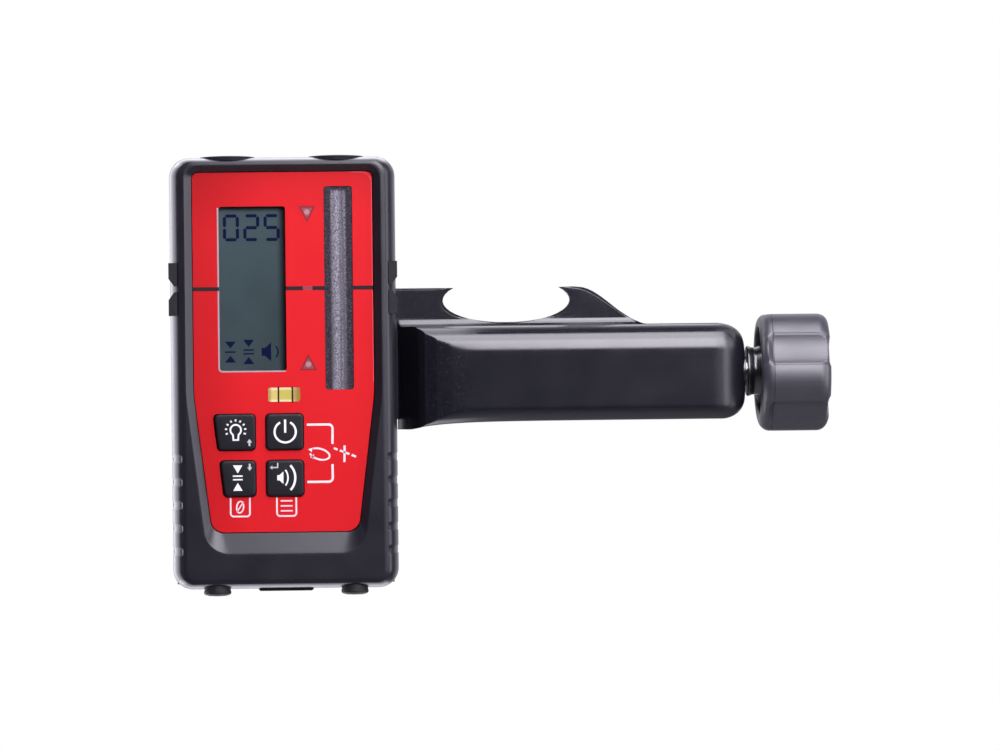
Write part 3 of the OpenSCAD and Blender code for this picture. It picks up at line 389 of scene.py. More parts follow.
def smoked_window(c):
    """Smoked window with the light guide showing as a finely speckled band with long streaks, and a painted
    highlight that makes it brightest left of its middle."""
    f = Finish("smoked_window")
    low, high = box("diffuser_strip")
    across, up = f.axis("X"), f.axis("Z")
    band = f.step(across, low[0] - 0.5, low[0] + 0.5) * f.step(across, high[0] - 0.6, high[0] + 0.5, 1.0, 0.0)
    band = band * f.step(up, high[2] - 2.2, high[2] - 0.9, 1.0, 0.0)
    speck = f.stretched(0.27, (1.0, 1.0, 0.8), 1.0)
    streak = f.stretched(0.9, (1.0, 1.0, 0.015), 2.0)
    # Painted highlight: crest is a paler stripe along the band, left of its middle.
    crest = f.step(abs(across - (low[0] * 0.62 + high[0] * 0.38)), 0.2, 1.5, 1.0, 0.0)
    grey = f.mix(crest * 0.5 + f.step(streak, 0.35, 0.65) * 0.4, shade(c.band, 0.5), shade(c.band, 1.9))
    grey = f.mix(f.step(speck, 0.42, 0.56), shade(c.band, 0.36), grey)
    dark = f.mix(f.step(speck, 0.48, 0.68), shade(c.window, 0.7), shade(c.window, 2.6))
    return f.surface(Base_Color=f.mix(band, dark, grey), Roughness=0.3 + (speck - 0.5) * 0.2,
                     Normal=f.bump(speck, 0.004), Specular_IOR_Level=0.12)


def indicator_lens(c):
    """Tinted lens over a round lamp: a paler disc in a dusky field."""
    f = Finish("indicator_lens")
    low, high = box("indicator_lenses")
    pitch = (high[2] - low[2]) / 2 - 1.7
    across = f.axis("X") - (low[0] + high[0]) / 2
    up = abs(f.axis("Z")) - pitch
    disc = f.step((across * across + up * up) ** 0.5, 0.65, 1.25, 1.0, 0.0)
    mottle = f.noise(0.4, 2.0)
    tone = f.mix(disc * (0.5 + mottle * 0.4), c.lens, (0.42, 0.27, 0.30))
    return f.surface(Base_Color=tone, Roughness=0.3 + (mottle - 0.5) * 0.2, Specular_IOR_Level=0.4)


def vial_acrylic(c):
    """Vial block: pale yellow, greener between the lines, paler along its upper and lower edge as a painted
    highlight, and amber as painted shade towards its right end and at its left end.
    """
    f = Finish("vial_acrylic")
    low, high = box("vial_block")
    across = f.axis("X") - (low[0] + high[0]) / 2
    up = f.axis("Z") - (low[2] + high[2]) / 2
    flow = f.stretched(1.2, (1.0, 1.0, 2.2), 2.0)
    # Painted shade: amber towards the right end.
    end = f.step(across, 2.6, 3.0, 0.0, 0.55) + f.step(across, 3.0, 5.2, 0.0, 0.4)
    middle = f.step(abs(across - 0.4), 2.1, 2.6, 1.0, 0.0)
    # Painted highlight: paler along the upper and lower edge, as on a round vial.
    edge = f.step(abs(up), 1.3, 2.2)
    tone = f.mix(flow, c.vial, shade(c.vial, 1.25))
    tone = f.mix(middle * 0.8, tone, (0.47, 0.42, 0.075))
    tone = f.mix(edge * 0.75, tone, (0.80, 0.72, 0.42))
    tone = f.mix(end, tone, c.amber)
    # Painted shade: the left end is darkened with the same amber.
    tone = f.mix(f.step(across, -5.0, -4.2, 0.6, 0.0), tone, c.amber)
    return f.surface(Base_Color=tone, Roughness=0.16 + flow * 0.1, Specular_IOR_Level=0.5, Coat_Weight=0.4)


def printed(name, tint, sheen=0.3):
    """Printed ink: a dense film with a slightly uneven edge tone."""
    f = Finish(name)
    weave = f.noise(0.3, 2.0)
    tone = f.mix(weave, shade(tint, 0.92), tint)
    return f.surface(Base_Color=tone, Roughness=0.5 + (weave - 0.5) * 0.12, Normal=f.bump(weave, 0.004),
                     Specular_IOR_Level=sheen)


def magnet_face(c):
    """Plated magnet: dark, turned rings round each of the two axes."""
    f = Finish("magnet_face")
    low, high = box("top_magnets")
    half = (high[0] - low[0]) / 2 - (high[1] - low[1]) / 2
    across = abs(f.axis("X") - (low[0] + high[0]) / 2) - half
    back = f.axis("Y") - (low[1] + high[1]) / 2
    radius = (across * across + back * back) ** 0.5
    rings = f.node("ShaderNodeMath", {"operation": "SINE"}, {0: radius * 9.0})
    grime = f.noise(1.4, 3.0)
    tone = f.mix(grime, (0.010, 0.010, 0.012), (0.024, 0.023, 0.028))
    gloss = 0.46 + rings * 0.03 + (grime - 0.5) * 0.2
    return f.surface(Base_Color=tone, Roughness=gloss, Normal=f.bump(rings, 0.004), Specular_IOR_Level=0.03)


def board_laminate(c):
    """Circuit board: green mask over a darker weave, with pale copper traces."""
    f = Finish("board_laminate")
    weave = f.noise(0.5, 2.0)
    cells = {"Vector": f.place(), "Scale": 1 / (2.4 * MM)}
    trace = f.node("ShaderNodeTexVoronoi", {"feature": "DISTANCE_TO_EDGE"}, cells)
    line = f.step(trace, 0.03, 0.08, 1.0, 0.0)
    tone = f.mix(line, f.mix(weave, (0.010, 0.060, 0.028), (0.016, 0.085, 0.040)), (0.05, 0.16, 0.07))
    return f.surface(Base_Color=tone, Roughness=0.34 + (weave - 0.5) * 0.2, Normal=f.bump(line, 0.02))


def cell_jacket(c):
    """Printed cell jacket: dark blue sleeve with a copper-toned band, under thin film."""
    f = Finish("cell_jacket")
    low, high = box("battery_cells")
    along = f.axis("X") - (low[0] + high[0]) / 2
    band = f.step(abs(along), 12.0, 12.6)
    scuff = f.noise(1.1, 3.0)
    tone = f.mix(band, (0.02, 0.035, 0.09), (0.30, 0.15, 0.05))
    tone = f.mix(scuff * 0.25, tone, (0.2, 0.2, 0.2))
    return f.surface(Base_Color=tone, Roughness=0.25 + scuff * 0.15, Metallic=0.3)


FINISHES = {
    "housing": lambda c: moulded("housing_plastic", c.housing, 0.31, 0.24, 0.004, 0.10, 0.46),
    "rear": lambda c: moulded("rear_plastic", c.housing, 0.46, 0.30, 0.012, 0.05),
    "door": lambda c: moulded("door_plastic", c.housing, 0.5, 0.34, 0.014, 0.05),
    "clamp": lambda c: moulded("clamp_plastic", c.clamp, 0.222, 0.26, 0.005, 0.7, 0.74, vary=worn_end),
    "jaw": lambda c: moulded("jaw_plastic", c.clamp, 0.42, 0.34, 0.016, 0.2),
    "knob": lambda c: moulded("knob_plastic", c.knob, 0.45, 0.24, 0.006, 0.06, 0.72, 1.62, hub_gloss_and_shade),
    "key": lambda c: rubber("key_rubber", c.key, 0.46, 0.2),
    "rubber": lambda c: rubber("seal_rubber", c.rubber),
    "pad": lambda c: rubber("pad_rubber", c.rubber, 0.7, 0.3),
    "latch": lambda c: moulded("latch_plastic", c.rubber, 0.44, 0.3, 0.012, 0.04),
    "steel": lambda c: metal("bright_steel", (0.62, 0.63, 0.65), 0.25, (0.12, 1.0, 1.0)),
    "dark_steel": lambda c: metal("dark_steel", (0.10, 0.10, 0.11), 0.34),
    "brass": lambda c: metal("insert_brass", (0.60, 0.42, 0.15), 0.3, (1.0, 0.15, 1.0)),
    "contact": lambda c: metal("contact_metal", (0.66, 0.66, 0.62), 0.32),
    "switch": lambda c: metal("switch_metal", (0.55, 0.55, 0.56), 0.35),
    "chip": lambda c: moulded("sensor_chip", (0.012, 0.010, 0.018), 0.3, 0.4, 0.006),
    "lamp": lambda c: printed("indicator_lamp", (0.70, 0.62, 0.62)),
    "guide": lambda c: printed("light_guide", (0.55, 0.55, 0.58)),
    "ink": lambda c: printed("white_ink", c.ink),
    "line": lambda c: printed("dark_ink", c.line, 0.1),
    "tint": lambda c: printed("dusky_ink", (0.26, 0.022, 0.030), 0.1),
    "segment": lambda c: printed("display_segment", c.segment, 0.05),
    # A painted highlight: the pale line along the display's cut-out.
    "edge": lambda c: printed("pane_edge_highlight", (0.40, 0.27, 0.29), 0.6),
    "faint": lambda c: printed("grey_ink", (0.54, 0.54, 0.56), 0.2),
    "plate_ink": lambda c: printed("pale_ink", (0.84, 0.70, 0.71), 0.2),
    # A painted highlight: the paler line along the faceplate's top and right edge.
    "rim": lambda c: printed("plate_rim_highlight", (0.66, 0.10, 0.125)),
    "liquid": lambda c: printed("vial_liquid", (0.55, 0.50, 0.08)),
    "bubble": lambda c: printed("vial_bubble", (0.78, 0.74, 0.45)),
    "pane": lambda c: clear_pane("display_pane", 0.93),
    "plate": red_plate,
    "display": display_ground,
    "window": smoked_window,
    "lens": indicator_lens,
    "vial": vial_acrylic,
    "magnet": magnet_face,
    "board": board_laminate,
    "cell": cell_jacket,
}
MADE = {}


def finish(name):
    """The finish of a name, made from the panel's colours when it is first asked for."""
    if name not in MADE:
        MADE[name] = FINISHES[name](bpy.context.scene.receiver_colours)
    return MADE[name]


def unit(ways):
    """Each row at a length of one."""
    return ways / np.linalg.norm(ways, axis=1, keepdims=True)


def corner_ways(last, at, following):
    """Ways from each corner to its two neighbours, and half the angle between them."""
    to_last, to_next = unit(last - at), unit(following - at)
    return to_last, to_next, np.arccos(np.clip((to_last * to_next).sum(1), -1, 1)) / 2


def fillets(at, to_last, to_next, half, reach, steps):
    """An arc at each corner from a reach before it to a reach after it, as a rational quadratic curve whose
    weight is the sine of half the corner's angle."""
    s = np.linspace(0, 1, steps)[None, :, None]
    weight = 2 * np.sin(half)[:, None, None] * s * (1 - s)
    start, end = (at + to_last * reach)[:, None], (at + to_next * reach)[:, None]
    return ((1 - s) ** 2 * start + weight * at[:, None] + s**2 * end) / ((1 - s) ** 2 + weight + s**2)


def rounded(corners, radii, runs, steps=12):
    """A closed outline: at each corner an arc of its radius, then points evenly along the straight run to the
    next corner. At a corner that doesn't turn, the radius is the half length that its points are spread
    over."""
    at, radius = np.asarray(corners, float), np.asarray(radii, float)
    to_last, to_next, half = corner_ways(np.roll(at, 1, 0), at, np.roll(at, -1, 0))
    turning = radius / np.tan(np.minimum(half, 1.57))
    reach = np.where(half > 1.5706, radius, turning)[:, None]
    arcs = fillets(at, to_last, to_next, half, reach, steps)
    parts = []
    for curve, after, count in zip(arcs, np.roll(arcs[:, 0], -1, 0), runs):
        share = np.linspace(0, 1, count + 2)[1:-1, None]
        parts += [curve, curve[-1] + (after - curve[-1]) * share]
    return np.concatenate(parts)


def bent(points, radius, steps=9):
    """An open path of straight runs whose inner corners are arcs of one radius."""
    at = np.asarray(points, float)
    to_last, to_next, half = corner_ways(at[:-2], at[1:-1], at[2:])
    reach = (radius / np.tan(half))[:, None]
    arcs = fillets(at[1:-1], to_last, to_next, half, reach, steps)
    return np.concatenate([at[:1], arcs.reshape(-1, 2), at[-1:]])


def arc(middle, radii, first, last, count=33, tilt=0.0):
    """Points of an ellipse between two angles in degrees, turned by a tilt."""
    a = np.radians(np.linspace(first, last, count))
    x, z = radii[0] * np.cos(a), radii[1] * np.sin(a)
    c, s = np.cos(np.radians(tilt)), np.sin(np.radians(tilt))
    return np.stack([middle[0] + x * c - z * s, middle[1] + x * s + z * c], 1)


def quarter(x, r, radius, first, last):
    """A quarter of a circle about a middle, between two angles in degrees."""
    return arc((x, r), (radius, radius), first, last, 9)


def numbered(grid):
    """The number of each point of a grid, as rows x columns."""
    count, columns = grid.shape[:2]
    return np.arange(count * columns).reshape(count, columns)


def loft(rings, closed=False):
    """Skin over rings of equal count, given as rows x columns x 3. Columns close on themselves. Rows do too
    if closed, and else the first and last ring are capped."""
    here = numbered(rings)
    beside = np.roll(here, -1, 1)
    quads = np.stack([here, beside, np.roll(beside, -1, 0), np.roll(here, -1, 0)], -1)
    if closed:
        return rings.reshape(-1, 3), [quads.reshape(-1, 4)]
    return rings.reshape(-1, 3), [quads[:-1].reshape(-1, 4), here[:1, ::-1], here[-1:]]


def sheet(grid):
    """Skin over an open grid, given as rows x columns x 3."""
    here = numbered(grid)
    quads = np.stack([here[:-1, :-1], here[1:, :-1], here[1:, 1:], here[:-1, 1:]], -1)
    return grid.reshape(-1, 3), [quads.reshape(-1, 4)]


def rows(outlines, depths):
    """Rings of a loft: one outline in X and Z for each depth, as rows x columns x 3."""
    flat = np.stack(outlines)
    depth = np.broadcast_to(np.asarray(depths, float)[:, None], flat.shape[:2])
    return np.stack([flat[..., 0], depth, flat[..., 1]], -1)


def pierced(rings, opening):
    """Skin over rings with an opening in X and Z through both caps. Each cap is cut into triangles round the
    opening, whose walls join the caps."""
    points, faces = loft(rings)
    here = numbered(rings)
    corner = here.size + np.arange(2 * len(opening)).reshape(2, -1)
    edges = rows([opening, opening], [rings[0, 0, 1], rings[-1, 0, 1]])
    walls = np.stack([corner[0], np.roll(corner[0], -1), np.roll(corner[1], -1), corner[1]], 1)
    caps = []
    for row in (0, -1):
        cut = tessellate_polygon([list(map(Vector, rings[row])), list(map(Vector, edges[row]))])
        caps.append(np.concatenate([here[row], corner[row]])[np.array(cut)])
    return np.concatenate([points, edges.reshape(-1, 3)]), [faces[0], walls, *caps]


def prism(outline):
    """A flat sign: an outline in X and Z carried from a depth of 0 to a depth of 1."""
    return loft(rows([outline, outline], [0.0, 1.0]))


def strip(path, width, closed=False):
    """A line of a width drawn along a path in X and Z, from a depth of 0 to a depth of 1: a rectangle carried
    along the path, square to the mean of the two directions at each point and widened at the corners."""
    path = np.asarray(path, float)
    step = np.roll(path, -1, 0) - path
    step /= np.maximum(np.linalg.norm(step, axis=1, keepdims=True), 1e-9)
    last = np.roll(step, 1, 0)
    if not closed:
        step[-1], last[0] = last[-1], step[0]
    along = step + last
    along /= np.maximum(np.linalg.norm(along, axis=1, keepdims=True), 1e-9)
    grow = 1 / np.maximum((along * step).sum(1, keepdims=True), 0.5)
    side = np.stack([-along[:, 1], along[:, 0]], 1) * grow * width / 2
    left, right = path + side, path - side
    rings = rows([left, right, right, left], [0.0, 0.0, 1.0, 1.0])
    return loft(rings.swapaxes(0, 1), closed)


def joined(parts):
    """Several skins as one."""
    points, faces, start = [], [], 0
    for some, lists in parts:
        points.append(some)
        faces += [each + start for each in lists]
        start += len(some)
    return np.concatenate(points), faces


def in_receiver(skin):
    """A skin moved from the receiver's own frame to the object's frame."""
    points, faces = skin
    return points + np.array([MIDDLE_X, FRONT_Y, 0.0]), faces


def inked(signs, front, back):
    """Signs as one skin in the object's frame, from a front to a back given in the receiver's own frame."""
    points, faces = joined(signs)
    return in_receiver((points * (1, back - front, 1) + (0, front, 0), faces))


def put(name, skin, body, look, stands_for=(), sharp=CREASE, outward=True):
    """Makes a piece from a skin in millimetres: closes its doubles, turns its faces outwards, shades it
    smooth up to a sharp angle, gives it its finish, hangs it on its body and hides the solids it stands for."""
    points, faces = skin
    mesh = bpy.data.meshes.new(name)
    corners = np.concatenate([each.ravel() for each in faces]).astype(np.int32)
    sizes = np.concatenate([np.full(len(each), each.shape[1]) for each in faces])
    starts = np.concatenate([[0], np.cumsum(sizes)[:-1]]).astype(np.int32)
    mesh.vertices.add(len(points))
    mesh.vertices.foreach_set("co", (points * MM).astype(np.float32).ravel())
    mesh.loops.add(len(corners))
    mesh.loops.foreach_set("vertex_index", corners)
    mesh.polygons.add(len(starts))
    mesh.polygons.foreach_set("loop_start", starts)
    mesh.update(calc_edges=True)
    mesh.validate()
    work = bmesh.new()
    work.from_mesh(mesh)
    bmesh.ops.remove_doubles(work, verts=work.verts, dist=1e-7)
    if outward:
        bmesh.ops.recalc_face_normals(work, faces=work.faces)
    work.to_mesh(mesh)
    work.free()
    mesh.polygons.foreach_set("use_smooth", np.ones(len(mesh.polygons), bool))
    mesh.set_sharp_from_angle(angle=np.radians(sharp))
    mesh.materials.append(finish(look))
    piece = bpy.data.objects.new(name, mesh)
    bpy.context.scene.collection.objects.link(piece)
    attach(piece, body)
    if stands_for:
        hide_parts(*stands_for)
    return piece


def tapered(half_top, half_foot, top, foot, shoulder, radii):
    """Outline with upright upper sides and tapered lower ones, with as many points in each run as its
    neighbours in the same loft."""
    corners = [(-half_foot, -foot), (half_foot, -foot), (half_top, -shoulder), (half_top, top),
               (-half_top, top), (-half_top, -shoulder)]
    return rounded(corners, radii, (30, 260, 60, 30, 60, 260))


def shell_skin(s):
    """Front shell as one closed tube of rings: up the plate's recess, out along the bevel to the crest, over
    a facet that leans outwards, round an ellipse R (1 - sin a), d R (cos a0 - cos a), back along the side to
    the parting line, and home inside. Each ring has an outline, a depth and a lie, which is the angle of its
    surface from the front. Its outline is drawn in by its own share at the sides, the top and the foot."""
    corner, edge, crown, facet, lean, wall = in_mm(s, "corner", "edge", "crown", "facet", "lean", "wall")
    shoulder, taper, gap = in_mm(s, "shoulder", "taper", "plate_gap")
    bevel, bevel_foot = in_mm(s, "bevel", "bevel_foot")
    half, top, foot = (SHELL[1, 0] - SHELL[0, 0]) / 2, SHELL[1, 2], -SHELL[0, 2]
    plate_top, plate_foot = PLATE[1, 2], -PLATE[0, 2]
    sole, top_share, start = 2.0, 0.7, np.radians(15.0)
    radius, draft = edge / (1 - np.sin(start)), 1.8
    slant = taper / (plate_foot - shoulder)
    inner = tapered(PLATE_HALF + gap, PLATE_HALF - taper + gap, plate_top + gap, plate_foot + gap, shoulder,
                    (4.7, 4.7, 60, 2.4, 2.4, 60))
    crest = tapered(PLATE_HALF + bevel, PLATE_HALF - taper + bevel - bevel_foot * slant,
                    plate_top + 0.85 * bevel, plate_foot + bevel_foot, shoulder, (9, 9, 60, 4.9, 4.9, 60))

    def outer(side, upper, lower):
        """The housing's outline drawn in at its sides, top and foot, and its corners by 0.45 of both."""
        high, low = corner - 0.45 * (side + upper), corner - 0.45 * (side + lower)
        radii = (low, low, 4, high, high, 4)
        return tapered(half - side, half - side, top - upper, foot - lower, shoulder, radii)

    made = [(inner, PLATE_BACK, 0.0), (inner, PLATE_Y + 0.1, 0.0)]
    for share, sink in ((0.012, 0.0), (0.04, 0.0), (0.3, 0.0), (0.6, 0.0), (0.88, 0.0), (0.96, 0.012),
                        (0.99, 0.03)):
        made.append((inner + (crest - inner) * share, PLATE_Y * (1 - share) + sink, 0.0))
    brow = outer(edge + facet - 0.06, crown + top_share * facet + 0.03, sole + facet)
    for share, sink in ((0.01, 0.03), (0.06, 0.006), (0.14, 0.0), (0.6, 0.0), (0.97, 0.0)):
        made.append((crest + (brow - crest) * share, sink, 0.0))
    for share in (0.0, 0.12, 0.35, 0.7, 0.94, 1.0):
        back = facet * (1 - share)
        line = outer(edge + back, crown + top_share * back, sole + back)
        made.append((line, lean * share**1.3, FACET_LIE * share))
    for a in np.linspace(start, np.pi / 2, 17)[1:]:
        back = radius * (1 - np.sin(a)) / edge
        depth = lean + draft * radius * (np.cos(start) - np.cos(a))
        lie = np.arctan2(draft * np.sin(a), np.cos(a))
        made.append((outer(edge * back, crown * back, sole * back), depth, lie))
    for depth in np.linspace(made[-1][1], PARTING - 0.25, 12)[1:]:
        made.append((outer(0, 0, 0), depth, np.pi / 2))
    home = PLATE_BACK + 2.2
    for inset, depth in ((0.08, PARTING - 0.08), (0.3, PARTING), (wall, PARTING), (wall, home)):
        made.append((outer(inset, inset, inset), depth, 0.0))
    made.append((inner, home, 0.0))
    outlines, depths, lies = zip(*made)
    rings = grooved(rows(outlines, depths), np.array(lies)[:, None], half - edge - 0.5, s)
    return loft(rings, closed=True)


def grooved(rings, lie, side, s):
    """Rings with grip grooves outside a distance from the middle. A groove sinks the surface along its normal
    by d = sqrt(g^2 - dz^2 - e^2) - (g - depth), softened to d^2 / (d + 0.8), where dz is the height from the
    groove's middle and e what is missing to the groove's round front end."""
    radius, deep, lean = in_mm(s, "groove", "groove_depth", "lean")
    pitch, first = in_mm(s, "groove_pitch", "groove_start")
    places = -first - pitch * np.arange(5)
    rise = np.abs(rings[..., 2, None] - places).min(-1)
    before = -9.0
    reach = np.where(lie > FACET_LIE + 0.01, rings[..., 1] - lean, before)
    short = np.maximum(0.7 - reach, 0)
    sunk = np.maximum(np.sqrt(np.maximum(radius**2 - rise**2 - short**2, 0)) - (radius - deep), 0)
    sunk = sunk**2 / (sunk + 0.8) * (lie > 0.0) * (np.abs(rings[..., 0]) > side)
    rings[..., 0] -= np.sign(rings[..., 0]) * sunk * np.sin(lie)
    rings[..., 1] += sunk * np.cos(lie)
    return rings


def key_skin(low, high, slant, s):
    """A key: its outline carried forward, over a quarter round, and in to its middle over a shallow crown."""
    edge, corner, crown = in_mm(s, "edge", "corner", "crown")
    shift = slant * (high[2] - low[2])

    def outline(inset):
        x0, x1, z0, z1 = low[0] + inset, high[0] - inset, low[2] + inset, high[2] - inset
        r = max(corner - inset, 0.3)
        return rounded([(x0 + shift, z0), (x1, z0), (x1, z1), (x0, z1)], (r, r, r, r), (8, 8, 8, 8), 10)

    outlines, depths = [outline(0), outline(0)], [high[1], low[1] + edge + crown]
    for a in np.radians(np.linspace(0, 90, 9))[1:]:
        outlines.append(outline(edge * (1 - np.cos(a))))
        depths.append(low[1] + crown + edge * (1 - np.sin(a)))
    last = outlines[-1]
    middle = last.mean(0)
    for share in (0.85, 0.65, 0.4, 0.15):
        outlines.append(middle + (last - middle) * share)
        depths.append(low[1] + crown * share**2)
    return loft(rows(outlines, depths))


def triangle(x, z, half_w, height):
    """A triangle that stands on z and points up, or down where its height is negative."""
    return prism([(x - half_w, z), (x + half_w, z), (x, z + height)])


def bar(x, z, w, h):
    """A bar about a middle."""
    corners = np.array([(-0.5, -0.5), (0.5, -0.5), (0.5, 0.5), (-0.5, 0.5)])
    return prism(corners * (w, h) + (x, z))


def arrow(x, z, up):
    """A small arrow: a head of three corners and a stem."""
    return [triangle(x, z, 0.9, 1.25 * up), bar(x, z - 0.6 * up, 0.64, 1.2)]


def speaker(x, z, size):
    """A speaker's side view: a box that opens into a cone."""
    corners = [(0, 0.42), (0.35, 0.42), (1.0, 1.0), (1.0, -1.0), (0.35, -0.42), (0, -0.42)]
    return prism(np.array(corners) * size + (x, z))


def fineness(x, tip, half_w, height, bars, width):
    """Two triangles that point at each other, the lower one as far below the middle of the bars as the upper
    is above it, and the bars between them."""
    foot = 2 * np.mean(bars) - tip
    return [triangle(x, tip, half_w, -height), *(bar(x, z, width, 0.5) for z in bars),
            triangle(x, foot, half_w, height)]


def key_signs():
    """Signs on each key: lamp, on-off, fineness and sound."""
    bulb = np.array([-17.05, -49.3])
    glass = np.concatenate([[(-16.2, -52.6)], arc(bulb, (1.85, 1.85), -58, 238, 41), [(-17.9, -52.6)]])
    lamp = [strip(glass, 0.6), strip([(-18.2, -52.75), (-15.9, -52.75)], 0.55)]
    for a in np.radians(np.linspace(-22, 202, 9)):
        ray = np.array([np.cos(a), np.sin(a)])
        lamp.append(strip([bulb + 3.0 * ray, bulb + 3.75 * ray], 0.55))
    power = [strip(arc((0.2, -50.1), (3.7, 3.7), 118, 422, 61), 0.72),
             strip([(0.2, -45.8), (0.2, -50.4)], 0.75)]
    fine = [triangle(-16.5, -61.6, 1.65, -2.8), bar(-16.5, -65.35, 3.4, 0.5), bar(-16.5, -66.6, 3.4, 0.5),
            triangle(-16.5, -70.5, 1.65, 2.8)]
    sound = [speaker(-2.75, -66.1, 2.15), strip(arc((-3.6, -66.1), (4.6, 4.6), -36, 36, 25), 0.55),
             strip(arc((-2.75, -66.1), (6.3, 6.3), -43, 43, 25), 0.78)]
    return {"key_backlight": lamp, "key_power": power, "key_accuracy": fine, "key_sound": sound}


def faint_signs():
    """Second signs on three keys, in a fainter ink: up, down and enter."""
    enter = [strip([(-2.55, -60.9), (-2.55, -62.5), (-4.6, -62.5)], 0.42),
             prism([(-4.4, -61.75), (-5.3, -62.5), (-4.4, -63.25)])]
    return {"key_backlight": arrow(-12.3, -53.7, 1), "key_accuracy": arrow(-12.3, -62.3, -1),
            "key_sound": enter}


def plate_signs():
    """Pale print on the faceplate: two links between keys, turning and crossed lines, and two boxed signs."""
    signs = [strip(bent([(7.8, -47.7), (16.75, -47.7), (16.65, -54.5)], 1.4), 0.8),
             strip(bent([(7.75, -67.7), (16.65, -67.7), (16.6, -61.6)], 1.4), 0.8)]
    signs += [strip(arc((12.15, -58.0), (3.55, 1.85), -158, 138, 49, -16), 0.62),
              prism([(8.2, -56.3), (9.75, -55.75), (9.35, -57.35)]),
              prism([(8.85, -59.0), (10.2, -57.95), (10.05, -59.7)])]
    signs.append(strip([(20.9, -55.1), (20.75, -60.9)], 0.75))
    lead, way = np.array([17.1, -56.0]), np.array([7.75, -3.05])
    for first, last in ((0.0, 0.17), (0.27, 0.70), (0.80, 1.0)):
        signs.append(strip([lead + way * first, lead + way * last], 0.72))
    for x0, x1 in ((-19.1, -12.4), (-2.95, 3.8)):
        signs.append(strip(bent([(x0, -73.0), (x0, -79.5), (x1, -79.5), (x1, -73.0)], 1.1), 0.56))
    signs += [strip(arc((-15.8, -76.2), (1.2, 2.0), 0, 352.5, 48, -8), 0.5, closed=True),
              strip([(-17.0, -78.0), (-14.6, -74.4)], 0.42)]
    signs += [strip([(-1.65, z), (2.5, z)], 0.46) for z in (-74.2, -75.95, -77.7)]
    return signs


SEGMENTS = {"a": ((0, 2), (1, 2)), "b": ((1, 2), (1, 1)), "c": ((1, 1), (1, 0)), "d": ((0, 0), (1, 0)),
            "e": ((0, 1), (0, 0)), "f": ((0, 2), (0, 1)), "g": ((0, 1), (1, 1))}
DIGITS = {"0": "abcdef", "2": "abdeg", "5": "acdfg"}


def digit(x, z, w, h, name):
    """A digit of seven bars with mitred ends, each a little short of its neighbours."""
    short, mitre, half = 0.2, 0.42, 0.55
    made = []
    for key in DIGITS[name]:
        a, b = (np.array([x + w * p[0], z + h / 2 * p[1]]) for p in SEGMENTS[key])
        way = (b - a) / np.linalg.norm(b - a)
        side, cut = np.array([-way[1], way[0]]) * half, way * mitre
        p, q = a + way * short, b - way * short
        made.append(prism([p, p + cut + side, q - cut + side, q, q - cut - side, p + cut - side]))
    return made


def display_signs():
    """Segments of the display: three digits above, and fineness and sound signs below."""
    made = []
    for x, name in ((-20.2, "0"), (-13.1, "2"), (-6.0, "5")):
        made += digit(x, 17.2, 4.5, 8.3, name)
    made += fineness(-18.6, -18.4, 1.9, 2.4, (-22.05,), 3.7)
    made += fineness(-12.2, -17.8, 1.9, 2.5, (-21.4, -22.7), 3.7)
    made += [speaker(-7.7, -22.1, 3.3), strip(arc((-5.0, -22.1), (3.0, 3.0), -40, 40, 15), 0.5)]
    return made


def turned(profile, places, depth):
    """Like discs about upright axes: a profile of radius and height turned round, at each place across."""
    r, z = np.array(profile).T[..., None]
    a = np.radians(np.arange(0, 360, 5.0))
    ring = np.stack([r * np.cos(a), depth + r * np.sin(a), z + 0 * a], -1)
    return joined([loft(ring + np.array([place, 0.0, 0.0])) for place in places])


def knob_profile(edge, seam):
    """Rows of place along the spindle and radius: bore, waisted hub, cup, its lip, the grip between two
    rounded ends with a seam in it, and the closed end."""
    x0, rim, end = KNOB[0, 0], KNOB_RIM, KNOB_END
    floor, fillet, lip = end - 7.5, 1.4, 0.9
    bore = [(end - 4.0, 0.01), (end - 4.0, 4.0), (x0, 4.0)]
    waist = [(x0, 8.5), (x0 + 0.3, 8.9), (x0 + 0.8, 8.9), (x0 + 2.0, 8.4), (x0 + 3.4, 8.4),
             (x0 + 4.6, HUB), (x0 + 6, HUB)]
    seam_line = [(seam - 0.22, GRIP), (seam - 0.08, GRIP - SEAM_CUT), (seam + 0.08, GRIP - SEAM_CUT),
                 (seam + 0.22, GRIP)]
    along = np.linspace(seam + 1, end - edge - 0.5, 12)
    return np.concatenate([
        bore, waist, quarter(floor - fillet, HUB + fillet, fillet, -90, 0),
        quarter(floor - fillet, CUP - fillet, fillet, 0, 90), [(rim + lip + 6, CUP), (rim + lip, CUP)],
        quarter(rim + lip, CUP + lip, lip, -90, -180)[1:], [(rim, CUP + 1.1)],
        quarter(rim + edge, GRIP - edge, edge, 180, 90), seam_line, np.stack([along, np.full(12, GRIP)], 1),
        quarter(end - edge, GRIP - edge, edge, 90, 0),
        [(end, 12.0), (end, 9.0), (end - 0.25, 8.7), (end - 0.25, 5.0), (end - 0.25, 0.01)]])


